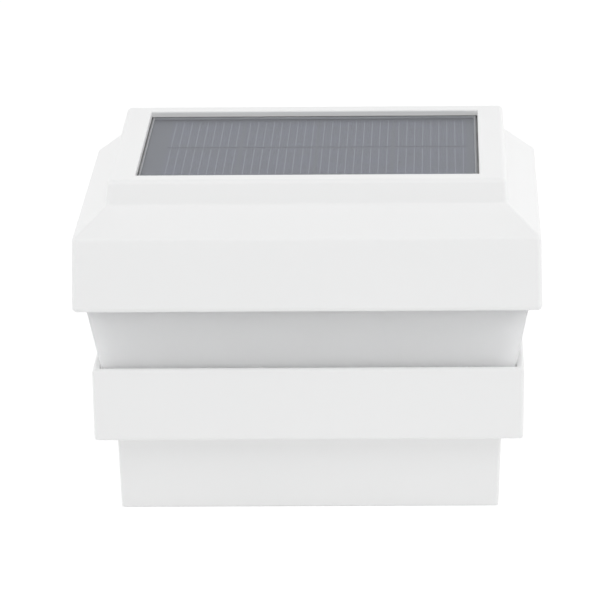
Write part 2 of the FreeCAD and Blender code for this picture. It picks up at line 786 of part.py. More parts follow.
def make_module_housing():
    body = new_body("module_housing")
    frustum(body, "tray", ("tray_low", "tray_top"), "tray_width", "tray_width")
    top = size("tray_top")
    round_edges(body, "tray_edges", "tray_edge_radius", lambda middle, edge: not same(middle.z, top))
    inner = "tray_width - 2 * tray_wall"
    frustum(body, "tray_hollow", ("tray_floor", "tray_top"), inner, inner, cut=True)

    # Battery bay, open below for its door and closed above.
    bay_outside = (centred("0", "bay_outer"), centred("0", "bay_outer_width"))
    block(body, "bay_walls", *bay_outside, ("tray_floor", "bay_roof + bay_wall"))
    bay_inside = (centred("0", "bay_half"), centred("0", "bay_half_width"))
    block(body, "bay_hollow", *bay_inside, ("tray_low", "bay_roof"), cut=True)
    rod_along_x(
        body, "hinge_bores", centred("0", "bay_outer"), "hinge_along", "hinge_level",
        "hinge_pin_radius + hinge_pin_play", cut=True,
    )
    stops = []
    for side, sign in (("left", "-"), ("right", "")):
        across = centred(f"{sign}door_stop_spread", "door_stop_width / 2")
        along = ("-bay_half_width - bay_wall / 2", "door_stop_reach - bay_half_width")
        rise = ("tray_floor", "tray_floor + door_stop_height")
        stops.append(block(body, f"door_stop_{side}", across, along, rise))

    # Slots in the bay's end wall for the tabs of the two end contacts.
    for side, sign in (("front", "-"), ("back", "")):
        along = centred(f"{sign}cell_side", "tab_width / 2 + tab_play")
        rise = centred("tab_level", "contact_thickness / 2 + tab_play")
        block(body, f"tab_slot_{side}", ("contact_face", "bay_outer"), along, rise, cut=True)

    # Pillars that the module screws pass through, with deep counterbores below.
    spread = ("pillar_spread", "pillar_spread")
    pillar = rod(body, "pillar", *spread, ("tray_floor - tray_wall / 2", "pillar_top"), "pillar_radius")
    around(body, "pillars", [pillar])
    counterbore = rod(
        body, "counterbore", *spread, ("tray_low", "module_screw_seat"), "counterbore_radius", cut=True,
    )
    passage = rod(
        body, "screw_passage", *spread, ("module_screw_seat", "pillar_top"),
        "module_screw_radius + screw_hole_gap", cut=True,
    )
    around(body, "screw_holes", [counterbore, passage])

    # Windows in the floor for the four light-emitting diodes.
    for across, along in led_spots:
        rod(
            body, "led_window", across, along, ("tray_low", "tray_floor"),
            "led_flange_radius + led_hole_gap", cut=True,
        )

    # Posts for the circuit board.
    for across in ("-post_spread_across", "post_spread_across"):
        for along in ("-post_spread_along", "post_spread_along"):
            rod(body, "board_post", across, along, ("tray_floor - tray_wall / 2", "pcb_low"), "post_radius")
            rod(
                body, "board_pilot", across, along, ("pcb_top - board_screw_length", "pcb_low"),
                "board_screw_radius + pilot_hole_gap", cut=True,
            )

    # Slot in the floor that the switch knob travels in.
    knob_room = "(knob_length + switch_travel) / 2 + floor_slot_gap"
    block(
        body, "knob_slot", centred("switch_across", knob_room),
        centred("switch_along", "knob_width / 2 + floor_slot_gap"), ("tray_low", "tray_floor"), cut=True,
    )


def make_housing_gasket():
    body = new_body("housing_gasket")
    inner = "tray_width - 2 * tray_wall"
    sheet_plate(body, "foam_ring", ("tray_top", "ledge_low"), ("tray_width", "tray_width"), (inner, inner))
    outer_half = size("tray_width") / 2
    round_edges(
        body, "ring_corners", "tray_edge_radius",
        lambda middle, edge: same(abs(middle.x), outer_half) and same(abs(middle.y), outer_half),
    )


def screw_profile(prefix, seat, way):
    """Half outline of a pan-head screw whose head sits at seat; way is + for a shank going up."""
    back = "-" if way == "+" else "+"
    head = f"{prefix}_head_radius"
    shank = f"{prefix}_radius"
    return [
        ("0", f"{seat} {back} {prefix}_head_height"),
        (f"{head} - screw_head_bevel", f"{seat} {back} {prefix}_head_height"),
        (head, f"{seat} {back} {prefix}_head_height {way} screw_head_bevel"),
        (head, seat),
        (shank, seat),
        (shank, f"{seat} {way} {prefix}_length {back} screw_tip_length"),
        ("0", f"{seat} {way} {prefix}_length"),
    ]


def cross_recess(body, name, x, y, prefix, seat, way):
    """Two crossed slots in a screw's head."""
    back = "-" if way == "+" else "+"
    face = f"{seat} {back} {prefix}_head_height"
    floor = f"{face} {way} recess_depth"
    rise = (face, floor) if way == "+" else (floor, face)
    long_half = "recess_length / 2"
    thin_half = "recess_width / 2"
    first = block(body, name + "_across", centred(x, long_half), centred(y, thin_half), rise, cut=True)
    second = block(body, name + "_along", centred(x, thin_half), centred(y, long_half), rise, cut=True)
    return [first, second]


def make_corner_screws(name, prefix, spread, seat):
    """Four screws going up, one in each corner."""
    body = new_body(name)
    features = [turned(body, "screw", spread, spread, screw_profile(prefix, seat, "+"))]
    features += cross_recess(body, "recess", spread, spread, prefix, seat, "+")
    around(body, "corner_screws", features)


def make_board_screws():
    body = new_body("board_screws")
    spots = ("post_spread_across", "post_spread_along")
    features = [turned(body, "screw", *spots, screw_profile("board_screw", "pcb_top", "-"))]
    features += cross_recess(body, "recess", *spots, "board_screw", "pcb_top", "-")
    mirrored(body, "back_pair", features, "YZ_Plane")
    spots = ("post_spread_across", "-post_spread_along")
    features = [turned(body, "front_screw", *spots, screw_profile("board_screw", "pcb_top", "-"))]
    features += cross_recess(body, "front_recess", *spots, "board_screw", "pcb_top", "-")
    mirrored(body, "front_pair", features, "YZ_Plane")


def make_circuit_board():
    body = new_body("circuit_board")
    hole = ("2 * pcb_hole_half", "2 * pcb_hole_half_width")
    outline = ("2 * pcb_half", "2 * pcb_half")
    sheet_plate(body, "laminate", ("pcb_low", "pcb_top"), outline, hole)
    for across in ("-post_spread_across", "post_spread_across"):
        for along in ("-post_spread_along", "post_spread_along"):
            rod(
                body, "screw_hole", across, along, ("pcb_low", "pcb_top"),
                "board_screw_radius + screw_hole_gap", cut=True,
            )


def make_leds():
    body = new_body("light_emitting_diodes")
    for across, along in led_spots:
        rise = ("pcb_low - led_flange_thickness", "pcb_low")
        rod(body, "flange", across, along, rise, "led_flange_radius")
        rod(body, "stem", across, along, ("led_shoulder", "pcb_low"), "led_radius")
        dome = body.newObject("PartDesign::AdditiveSphere", "dome")
        attach(dome, body, across, along, "led_shoulder")
        bind(dome, Radius="led_radius")


def make_board_parts():
    chip = new_body("control_chip")
    block(
        chip, "package", centred("chip_across", "chip_length / 2"), centred("part_row", "chip_width / 2"),
        ("pcb_top", "pcb_top + chip_height"),
    )
    capacitor = new_body("smoothing_capacitor")
    rod(
        capacitor, "can", "capacitor_across", "part_row", ("pcb_top", "pcb_top + capacitor_height"),
        "capacitor_radius",
    )
    resistors = new_body("resistors")
    for index in range(int(size("resistor_count"))):
        across = centred(f"resistor_across + resistor_pitch * {index}", "resistor_width / 2")
        along = centred("resistor_row", "resistor_length / 2")
        block(resistors, f"resistor_{index}", across, along, ("pcb_top", "pcb_top + resistor_height"))


def make_inductor():
    core = new_body("inductor_core")
    top = "pcb_top + coil_height"
    turned(core, "drum", "coil_across", "part_row", [
        ("0", "pcb_top"),
        ("coil_radius", "pcb_top"),
        ("coil_radius", "pcb_top + coil_flange"),
        ("coil_neck_radius", "pcb_top + coil_flange"),
        ("coil_neck_radius", f"{top} - coil_flange"),
        ("coil_radius", f"{top} - coil_flange"),
        ("coil_radius", top),
        ("0", top),
    ])
    winding = new_body("inductor_winding")
    low = "pcb_top + coil_flange + coil_winding_gap"
    high = f"{top} - coil_flange - coil_winding_gap"
    inner = "coil_neck_radius + coil_winding_gap"
    turned(winding, "copper", "coil_across", "part_row", [
        (inner, low), ("coil_winding_radius", low), ("coil_winding_radius", high), (inner, high),
    ])


def make_switch():
    body = new_body("switch_body")
    block(
        body, "case", centred("switch_across", "switch_length / 2"),
        centred("switch_along", "switch_width / 2"), ("switch_low", "pcb_low"),
    )
    block(
        body, "slot", centred("switch_across", "(knob_length + switch_travel) / 2 + switch_play"),
        centred("switch_along", "knob_width / 2 + switch_play"),
        ("switch_low", "switch_low + switch_slot_depth"), cut=True,
    )
    knob = new_body("switch_knob")
    block(
        knob, "knob", centred("knob_across", "knob_length / 2"), centred("switch_along", "knob_width / 2"),
        ("tray_low - knob_proud", "knob_top"),
    )


# ---------------------------------------------------------------- batteries and their door

# The front cell's nub points to +X and the back cell's to -X, so the pair is wired in series.
cell_ways = (("front", "-cell_side", 1), ("back", "cell_side", -1))


def pointing(way, low, high):
    """A span of x for a cell that points to +X, turned round for one that points to -X."""
    return (low, high) if way > 0 else (f"-({high})", f"-({low})")


def make_batteries():
    cans = new_body("battery_cans")
    sleeves = new_body("battery_sleeves")
    for side, along, way in cell_ways:
        can_span = pointing(way, "cell_back", "contact_face - nub_length")
        rod_along_x(cans, f"can_{side}", can_span, along, "battery_level", "can_radius")
        nub_span = pointing(way, "0", "contact_face")
        rod_along_x(cans, f"nub_{side}", nub_span, along, "battery_level", "nub_radius")
        wrap = pointing(way, "cell_back + sleeve_end", "contact_face - nub_length - sleeve_end")
        rod_along_x(sleeves, f"wrap_{side}", wrap, along, "battery_level", "sleeve_radius")
        rod_along_x(
            sleeves, f"wrap_bore_{side}", wrap, along, "battery_level", "can_radius + sleeve_gap", cut=True,
        )


def make_contacts():
    rise = ("contact_low", "contact_low + contact_height")
    bridge = new_body("bridge_contact")
    bridge_half = "cell_side + contact_width / 2"
    block(bridge, "plate", ("-bay_half", "-contact_face"), centred("0", bridge_half), rise)
    for name, along in (("positive_contact", "-cell_side"), ("negative_contact", "cell_side")):
        contact = new_body(name)
        block(contact, "plate", ("contact_face", "bay_half"), centred(along, "contact_width / 2"), rise)
        block(
            contact, "tab", ("contact_face", "tab_tip"), centred(along, "tab_width / 2"),
            centred("tab_level", "contact_thickness / 2"),
        )


def conical_spring(start, along, length, way):
    """Conical coil of round wire along X, in quarter-turn arcs, from its wide end to its narrow one."""
    wire = size("spring_wire_radius")
    quarters = int(round(size("spring_turns") * 4))
    run = length - 2 * wire

    def point(turn):
        share = turn / quarters
        radius = size("spring_base_radius") * (1 - share) + size("spring_tip_radius") * share
        angle = turn * math.pi / 2
        x = start + way * (wire + run * share)
        return Vector(x, along + radius * math.cos(angle), size("battery_level") + radius * math.sin(angle))

    arcs = []
    for quarter in range(quarters):
        arcs.append(Part.Arc(point(quarter), point(quarter + 0.5), point(quarter + 1)).toShape())
    path = Part.Wire(arcs)
    first = arcs[0]
    direction = first.tangentAt(first.FirstParameter)
    section = Part.Wire(Part.makeCircle(wire, point(0), direction))
    return path.makePipeShell([section], True, False)


def make_battery_springs():
    springs = []
    for way in (1, -1):
        start = -way * size("contact_face")
        springs.append(conical_spring(start, -way * size("cell_side"), size("spring_length"), way))
    shaped_piece("battery_springs", Part.makeCompound(springs))


def make_battery_door():
    body = new_body("battery_door")
    block(body, "leaf", centred("0", "door_half"), ("door_free", "hinge_along"), ("tray_low", "tray_floor"))
    hinge = ("hinge_along", "hinge_level")
    rod_along_x(body, "barrel", centred("0", "door_half"), *hinge, "barrel_radius")
    rod_along_x(body, "pins", centred("0", "door_half + hinge_pin_length"), *hinge, "hinge_pin_radius")

    # Snap tongue in the free edge, between two slots, with an upstand behind it and grips below.
    for side, sign in (("left", "-"), ("right", "")):
        across = centred(f"{sign}(tongue_width + tongue_slot) / 2", "tongue_slot / 2")
        along = ("door_free", "door_free + tongue_length")
        block(body, f"tongue_slot_{side}", across, along, ("tray_low", "tray_floor"), cut=True)
    block(
        body, "upstand", centred("0", "tongue_width / 2"), ("door_free", "door_free + tongue_thickness"),
        ("tray_floor", "tray_floor + tongue_upstand"),
    )
    for index in range(int(size("grip_count"))):
        start = f"door_free + grip_pitch * {index} + grip_thickness"
        along = (start, f"{start} + grip_thickness")
        rise = ("tray_low - grip_height", "tray_low")
        block(body, f"grip_{index}", centred("0", "grip_width / 2"), along, rise)


def make_door_foam():
    body = new_body("door_foam")
    outline = ("foam_length", "foam_width")
    sheet_plate(body, "strip", ("tray_floor", "tray_floor + foam_thickness"), outline)


# ---------------------------------------------------------------- leads

bend_share = 0.45  # part of the shorter run that a lead's bend takes up at each corner


def routed_tube(points, radius):
    """Round lead along straight runs joined by tangent arcs."""
    corners = [Vector(*point) for point in points]
    edges = []
    start = corners[0]
    for index in range(1, len(corners) - 1):
        before = corners[index - 1] - corners[index]
        after = corners[index + 1] - corners[index]
        half_turn = (math.pi - before.getAngle(after)) / 2
        setback = bend_share * min(before.Length, after.Length)
        before.normalize()
        after.normalize()
        arc_start = corners[index] + before * setback
        arc_end = corners[index] + after * setback
        bend = setback / math.tan(half_turn)
        to_centre = (before + after).normalize() * (bend / math.cos(half_turn))
        middle = corners[index] + to_centre - Vector(to_centre).normalize() * bend
        edges.append(Part.LineSegment(start, arc_start).toShape())
        edges.append(Part.Arc(arc_start, middle, arc_end).toShape())
        print(f"lead bend radius {bend:.1f}")
        start = arc_end
    edges.append(Part.LineSegment(start, corners[-1]).toShape())
    section = Part.Wire(Part.makeCircle(radius, corners[0], corners[1] - corners[0]))
    return Part.Wire(edges).makePipeShell([section], True, False)


def make_leads():
    radius = size("lead_radius")
    for name, sign in (("panel_lead_red", -1), ("panel_lead_black", 1)):
        x = sign * size("lead_spread")
        top = size("board_low")
        foot = size("pcb_top")
        start = size("lead_top_along")
        end = size("lead_foot_along")
        shaped_piece(name, routed_tube([
            (x, start, top),
            (x, start, top - size("lead_drop")),
            (x, end, foot + size("lead_rise")),
            (x, end, foot),
        ], radius))
    for name, sign in (("battery_lead_red", -1), ("battery_lead_black", 1)):
        x = size("tab_tip") - radius
        y = sign * size("cell_side")
        top = size("tab_level") - size("contact_thickness") / 2
        shaped_piece(name, routed_tube([(x, y, top), (x, y, size("pcb_top"))], radius))


# ---------------------------------------------------------------- build, check and write

def check_document():
    """Stop if any object failed or any piece has no sound solid."""
    document.recompute()
    for item in document.Objects:
        if "Invalid" in item.State or "Error" in item.State:
            raise RuntimeError(f"{item.Label} in {item.getParentGeoFeatureGroup()} failed: {item.State}")
    labels = [piece.Label for piece in pieces]
    if len(set(labels)) != len(labels):
        raise RuntimeError("two pieces share a name")
    for piece in pieces:
        shape = piece.Shape
        if shape.isNull() or not shape.isValid() or not shape.Solids or shape.Volume <= 0:
            raise RuntimeError(f"{piece.Label} has no sound solid")


def write_pieces():
    os.makedirs("parts", exist_ok=True)
    for piece in pieces:
        piece.Shape.exportStep(f"parts/{piece.Label}.step")
        box = piece.Shape.BoundBox
        count = len(piece.Shape.Solids)
        volume = piece.Shape.Volume
        print(f"{piece.Label}: {count} solid(s), {volume:.1f} mm3, z {box.ZMin:.2f} to {box.ZMax:.2f}")


make_all_sheets()
make_post_base()
make_lens()
make_lid_shell()
make_panel_sealant()
make_panel_board()
make_solar_cells()
make_panel_cover()
make_module_housing()
make_housing_gasket()
make_corner_screws("lens_screws", "lens_screw", "lens_boss_spread", "lens_flange_low")
make_corner_screws("module_screws", "module_screw", "pillar_spread", "module_screw_seat")
make_circuit_board()
make_board_screws()
make_leds()
make_board_parts()
make_inductor()
make_switch()
make_batteries()
make_contacts()
make_battery_springs()
make_battery_door()
make_door_foam()
make_leads()
check_document()
write_pieces()
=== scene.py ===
import bmesh
import bpy
import math
from mathutils import Matrix, Vector


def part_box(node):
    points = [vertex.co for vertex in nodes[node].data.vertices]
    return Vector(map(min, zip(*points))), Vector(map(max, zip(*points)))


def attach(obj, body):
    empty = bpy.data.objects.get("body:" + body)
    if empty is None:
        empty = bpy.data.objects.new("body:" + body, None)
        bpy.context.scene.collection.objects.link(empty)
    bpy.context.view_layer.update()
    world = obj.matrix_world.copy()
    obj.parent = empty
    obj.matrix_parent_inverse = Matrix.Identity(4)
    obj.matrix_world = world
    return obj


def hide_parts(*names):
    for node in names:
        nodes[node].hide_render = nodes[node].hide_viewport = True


# Deck post cap light: white base and lid, frosted lens, solar panel on top, light module inside.
# Everything is in metres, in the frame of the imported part. Front is -Y, up is +Z.

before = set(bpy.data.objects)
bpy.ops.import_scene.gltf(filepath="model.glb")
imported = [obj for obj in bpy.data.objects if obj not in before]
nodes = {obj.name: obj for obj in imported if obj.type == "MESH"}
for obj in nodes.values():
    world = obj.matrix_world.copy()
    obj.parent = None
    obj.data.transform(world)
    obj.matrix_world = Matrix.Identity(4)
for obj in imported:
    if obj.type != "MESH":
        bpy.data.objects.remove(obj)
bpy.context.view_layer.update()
mm = 0.001
print("frame loaded,", len(nodes), "nodes")


# Small helpers for meshes

def meshPiece(name, bm, material, body, smooth=False):
    mesh = bpy.data.meshes.new(name)
    bmesh.ops.recalc_face_normals(bm, faces=bm.faces)
    bm.to_mesh(mesh)
    bm.free()
    piece = bpy.data.objects.new(name, mesh)
    bpy.context.scene.collection.objects.link(piece)
    mesh.materials.append(material)
    for face in mesh.polygons:
        face.use_smooth = smooth
    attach(piece, body)
    return piece


def addBlock(bm, low, high, bevel=0.0, segments=2):
    made = bmesh.ops.create_cube(bm, size=1.0)
    size = [b - a for a, b in zip(low, high)]
    middle = [(a + b) / 2 for a, b in zip(low, high)]
    bmesh.ops.scale(bm, vec=size, verts=made["verts"])
    bmesh.ops.translate(bm, vec=middle, verts=made["verts"])
    if bevel > 0:
        edges = list({edge for vert in made["verts"] for edge in vert.link_edges})
        bmesh.ops.bevel(bm, geom=edges, offset=bevel, segments=segments, profile=0.5, affect="EDGES")


def addOutline(bm, points, low, high):
    # Upright prism over a closed outline of x, y points
    bottom = [bm.verts.new((x, y, low)) for x, y in points]
    top = [bm.verts.new((x, y, high)) for x, y in points]
    bm.faces.new(list(reversed(bottom)))
    bm.faces.new(top)
    for index in range(len(points)):
        after = (index + 1) % len(points)
        bm.faces.new((bottom[index], bottom[after], top[after], top[index]))


def addTurned(bm, middle, profile, steps=24):
    # Shape turned about an upright axis through middle; the profile is a list of radius and height
    rings = []
    for radius, height in profile:
        ring = []
        for step in range(steps):
            angle = 2 * math.pi * step / steps
            x = middle[0] + radius * math.cos(angle)
            y = middle[1] + radius * math.sin(angle)
            ring.append(bm.verts.new((x, y, middle[2] + height)))
        rings.append(ring)
    joinRings(bm, rings)


def joinRings(bm, rings):
    # Skin over a row of equal rings, closed at both ends
    for near, far in zip(rings, rings[1:]):
        for index in range(len(near)):
            after = (index + 1) % len(near)
            bm.faces.new((near[index], near[after], far[after], far[index]))
    bm.faces.new(list(reversed(rings[0])))
    bm.faces.new(rings[-1])


# Small helpers for materials

def startMaterial(name):
    material = bpy.data.materials.new(name)
    material.use_nodes = True
    material.node_tree.nodes.clear()
    return material, material.node_tree


def put(tree, kind, inputs=None, **settings):
    made = tree.nodes.new("ShaderNode" + kind)
    for key, value in settings.items():
        setattr(made, key, value)
    for key, value in (inputs or {}).items():
        if isinstance(value, bpy.types.NodeSocket):
            tree.links.new(value, made.inputs[key])
        else:
            made.inputs[key].default_value = value
    return made


def rgb(colour):
    return (colour[0], colour[1], colour[2], 1.0)


def noise(tree, place, scale, detail=3.0, rough=0.55):
    inputs = {"Vector": place, "Scale": scale, "Detail": detail, "Roughness": rough}
    return put(tree, "TexNoise", inputs).outputs["Fac"]


def between(tree, value, low, high, fromLow=0.3, fromHigh=0.7):
    inputs = {"Value": value, "From Min": fromLow, "From Max": fromHigh, "To Min": low, "To Max": high}
    return put(tree, "MapRange", inputs).outputs["Result"]


def blendTones(tree, value, first, second, fromLow=0.3, fromHigh=0.7):
    ramp = put(tree, "ValToRGB", {"Fac": value})
    ramp.color_ramp.elements[0].position = fromLow
    ramp.color_ramp.elements[0].color = rgb(first)
    ramp.color_ramp.elements[1].position = fromHigh
    ramp.color_ramp.elements[1].color = rgb(second)
    return ramp.outputs["Color"]


def raised(tree, height, depth, before=None):
    inputs = {"Height": height, "Distance": depth, "Strength": 1.0}
    if before is not None:
        inputs["Normal"] = before
    return put(tree, "Bump", inputs).outputs["Normal"]


def finishMaterial(tree, surface):
    put(tree, "OutputMaterial", {"Surface": surface})


# Moulded plastic: slow drift of tone, fine spark-eroded grain and faint sink marks
def mouldedPlastic(name, look):
    material, tree = startMaterial(name)
    place = put(tree, "TexCoord").outputs["Object"]
    drift = noise(tree, place, look["driftScale"], 2.0)
    grain = noise(tree, place, look["grainScale"], 3.0)
    sink = noise(tree, place, look["sinkScale"], 1.0)
    normal = raised(tree, sink, look["sinkDepth"])
    normal = raised(tree, grain, look["grainDepth"], normal)
    shader = put(tree, "BsdfPrincipled", {
        "Base Color": blendTones(tree, drift, look["toneLow"], look["toneHigh"]),
        "Roughness": between(tree, grain, look["roughLow"], look["roughHigh"]),
        "IOR": look["ior"],
        "Normal": normal,
    })
    finishMaterial(tree, shader.outputs["BSDF"])
    return material


# Metal: brushed along one axis, with small scuffs that raise the roughness
def workedMetal(name, look):
    material, tree = startMaterial(name)
    place = put(tree, "TexCoord").outputs["Object"]
    stretched = put(tree, "Mapping", {"Vector": place, "Scale": look["brush"]}).outputs["Vector"]
    brush = noise(tree, stretched, look["brushScale"], 4.0)
    scuff = noise(tree, place, look["scuffScale"], 4.0, 0.7)
    shader = put(tree, "BsdfPrincipled", {
        "Base Color": blendTones(tree, scuff, look["toneLow"], look["toneHigh"]),
        "Metallic": look["metallic"],
        "Roughness": between(tree, scuff, look["roughLow"], look["roughHigh"]),
        "Normal": raised(tree, brush, look["brushDepth"]),
    })
    finishMaterial(tree, shader.outputs["BSDF"])
    return material


# Foam and sealing compound: open cells or a hand-laid ripple
def softFiller(name, look):
    material, tree = startMaterial(name)
    place = put(tree, "TexCoord").outputs["Object"]
    cells = put(tree, "TexVoronoi", {"Vector": place, "Scale": look["cellScale"]}).outputs["Distance"]
    patch = noise(tree, place, look["patchScale"], 3.0)
    shader = put(tree, "BsdfPrincipled", {
        "Base Color": blendTones(tree, patch, look["toneLow"], look["toneHigh"]),
        "Roughness": between(tree, patch, look["roughLow"], look["roughHigh"]),
        "Normal": raised(tree, cells, look["cellDepth"]),
    })
    finishMaterial(tree, shader.outputs["BSDF"])
    return material


# Base and lid mouldings

whiteMoulding = {
    "toneLow": (0.915, 0.914, 0.910),
    "toneHigh": (0.930, 0.929, 0.925),
    "driftScale": 9.0,
    "grainScale": 2600.0,
    "grainDepth": 0.000012,
    "sinkScale": 22.0,
    "sinkDepth": 0.00035,
    "roughLow": 0.36,
    "roughHigh": 0.46,
    "ior": 1.49,
}
moduleMoulding = dict(whiteMoulding, toneLow=(0.89, 0.89, 0.88), toneHigh=(0.91, 0.91, 0.90), roughLow=0.42,
                      roughHigh=0.56, grainScale=1800.0, grainDepth=0.00002)
doorMoulding = dict(moduleMoulding, toneLow=(0.87, 0.87, 0.86), toneHigh=(0.895, 0.895, 0.885))
switchPlastic = dict(whiteMoulding, toneLow=(0.020, 0.020, 0.022), toneHigh=(0.045, 0.045, 0.048),
                     grainScale=3400.0, roughLow=0.35, roughHigh=0.55)
knobPlastic = dict(switchPlastic, toneLow=(0.015, 0.015, 0.016), toneHigh=(0.03, 0.03, 0.032), roughLow=0.3)

print("moulded pieces")
whitePlastic = mouldedPlastic("white_moulding", whiteMoulding)
modulePlastic = mouldedPlastic("module_moulding", moduleMoulding)
doorPlastic = mouldedPlastic("door_moulding", doorMoulding)
switchMaterial = mouldedPlastic("switch_plastic", switchPlastic)
knobMaterial = mouldedPlastic("knob_plastic", knobPlastic)


# Lens: milky plastic that passes light, with a frosted skin

frostedLens = {
    "skin": (0.985, 0.987, 0.990),
    "skinFaint": (0.975, 0.978, 0.982),
    "passed": (0.985, 0.988, 0.992),
    "passShare": 0.45,
    "milk": 1.0,
    "milkReach": 8.0 * mm,
    "ior": 1.5,
    "innerClear": 0.75,  # share of light that the smooth inner wall lets straight through
    "roughLow": 0.34,
    "roughHigh": 0.5,
    "frostScale": 3200.0,
    "frostDepth": 0.00001,
    "flowScale": 14.0,
}


def makeFrostedLens(look):
    material, tree = startMaterial("frosted_lens")
    place = put(tree, "TexCoord").outputs["Object"]
    frost = noise(tree, place, look["frostScale"], 3.0)
    flow = noise(tree, place, look["flowScale"], 2.0)
    normal = raised(tree, frost, look["frostDepth"])
    skin = put(tree, "BsdfPrincipled", {
        "Base Color": blendTones(tree, flow, look["skinFaint"], look["skin"]),
        "Roughness": between(tree, frost, look["roughLow"], look["roughHigh"]),
        "IOR": look["ior"],
        "Subsurface Weight": look["milk"],
        "Subsurface Radius": (1.0, 1.0, 1.0),
        "Subsurface Scale": look["milkReach"],
        "Normal": normal,
    })
    passed = put(tree, "BsdfTranslucent", {"Color": rgb(look["passed"]), "Normal": normal})
    mixed = put(tree, "MixShader", {0: look["passShare"], 1: skin.outputs["BSDF"], 2: passed.outputs["BSDF"]})
    # The inner wall is where the normal points back to the upright axis
    flat = put(tree, "VectorMath", {0: place, 1: (1, 1, 0)}, operation="MULTIPLY").outputs[0]
    facing = put(tree, "TexCoord").outputs["Normal"]
    outward = put(tree, "VectorMath", {0: flat, 1: facing}, operation="DOT_PRODUCT").outputs["Value"]
    inner = put(tree, "Math", {0: outward, 1: 0.0}, operation="LESS_THAN").outputs[0]
    inner = put(tree, "Math", {0: inner, 1: look["innerClear"]}, operation="MULTIPLY").outputs[0]
    clear = put(tree, "BsdfTransparent", {"Color": (1, 1, 1, 1)})
    mixed = put(tree, "MixShader", {0: inner, 1: mixed.outputs[0], 2: clear.outputs[0]})
    finishMaterial(tree, mixed.outputs["Shader"])
    return material


lensMaterial = makeFrostedLens(frostedLens)


# Solar panel: backing laminate, cells with printed silver fingers, clear cover, black bead, painted highlight
# lines on the cover's sides and a painted shade strip on its back edge

panelLayout = {
    "windowHalf": 51.1 * mm,  # half the width of the window in the lid's plate
    "columns": 4,
    "rows": 2,
    "fingersPerCell": 9,
    "fingerPitch": 2.48 * mm,
    "fingerWidth": 0.2 * mm,
    "fingerInset": 1.4 * mm,
    "fingerHeight": 0.03 * mm,
    "gapAcross": 0.9 * mm,
    "gapAlong": 2.0 * mm,
    "cellSink": 0.24 * mm,  # how far the cell's face lies under its CAD top
    "cornerCut": 0.9 * mm,
    "coverLift": 0.02 * mm,
    "coverBevel": 0.3 * mm,
    "coverInset": 0.15 * mm,
    "coverShift": 0.1 * mm,
    "beadSink": 0.25 * mm,  # bead's top under the cover's top
    # Painted shade: a thin dark strip over the cover's back edge, as far, wavy and high as the next values
    # say
    "shadeStripReach": 0.2 * mm,
    "shadeStripWave": 0.05 * mm,
    "shadeStripSteps": 60,
    "shadeStripWaves": ((61.0, 1.0, 0.0), (173.0, 0.6, 1.0)),  # turn, strength and start of each wave
    "shadeStripHeight": 0.03 * mm,
    "wallGap": 0.03 * mm,
    "skinLift": 0.01 * mm,  # how far the painted shade strip's foot and the painted highlight lines' top lie above the cover
    "highlightInset": 0.3 * mm,  # painted highlight line along the cover's left and right edges
    "highlightWidth": 0.28 * mm,
}
siliconLook = {
    "darkTone": (0.014, 0.018, 0.032),
    "blueTone": (0.028, 0.034, 0.066),
    "crystalScale": 260.0,
    "grainScale": 900.0,
    "grainDepth": 0.000004,
    "roughLow": 0.28,
    "roughHigh": 0.42,
}
laminateLook = {
    "toneLow": (0.022, 0.026, 0.034),
    "toneHigh": (0.034, 0.038, 0.046),
    "patchScale": 60.0,
    "weaveScale": 2400.0,
    "weaveDepth": 0.000006,
    "weaveBend": 1.5,
    "roughLow": 0.28,
    "roughHigh": 0.44,
}
fingerLook = {"toneLow": (0.29, 0.295, 0.31), "toneHigh": (0.36, 0.365, 0.38), "metallic": 0.0,
              "brush": (1.0, 0.1, 1.0), "brushScale": 4000.0, "brushDepth": 0.000004, "scuffScale": 300.0,
              "roughLow": 0.4, "roughHigh": 0.6}
coverLook = {
    "ior": 1.36,
    "rough": 0.42,
    "gloss": (0.51, 0.52, 0.545),
    "tint": (0.93, 0.94, 0.96),
    "haze": (0.42, 0.44, 0.50),
    "hazeShare": 0.02,
    "cutEdge": (0.56, 0.57, 0.58),
    "cutFrom": 0.98,  # upright share of the normal under which a face starts to look ground
    "cutFull": 0.9,
    "rippleScale": 45.0,
    "rippleDepth": 0.00006,
    "matteScale": 2600.0,
    "matteDepth": 0.000004,
}


def makeSilicon(look):
    material, tree = startMaterial("solar_silicon")
    place = put(tree, "TexCoord").outputs["Object"]
    crystals = put(tree, "TexVoronoi", {"Vector": place, "Scale": look["crystalScale"]}).outputs["Color"]
    grey = put(tree, "SeparateColor", {"Color": crystals}).outputs["Red"]
    fine = noise(tree, place, look["grainScale"])
    shader = put(tree, "BsdfPrincipled", {
        "Base Color": blendTones(tree, grey, look["darkTone"], look["blueTone"], 0.0, 1.0),
        "Roughness": between(tree, fine, look["roughLow"], look["roughHigh"]),
        "Normal": raised(tree, fine, look["grainDepth"]),
    })
    finishMaterial(tree, shader.outputs["BSDF"])
    return material


def makeLaminate(look):
    material, tree = startMaterial("panel_laminate")
    place = put(tree, "TexCoord").outputs["Object"]
    threads = {"Vector": place, "Scale": look["weaveScale"], "Distortion": look["weaveBend"]}
    weave = put(tree, "TexWave", threads).outputs["Fac"]
    patch = noise(tree, place, look["patchScale"])
    shader = put(tree, "BsdfPrincipled", {
        "Base Color": blendTones(tree, patch, look["toneLow"], look["toneHigh"]),
        "Roughness": between(tree, weave, look["roughLow"], look["roughHigh"], 0.0, 1.0),
        "Normal": raised(tree, weave, look["weaveDepth"]),
    })
    finishMaterial(tree, shader.outputs["BSDF"])
    return material


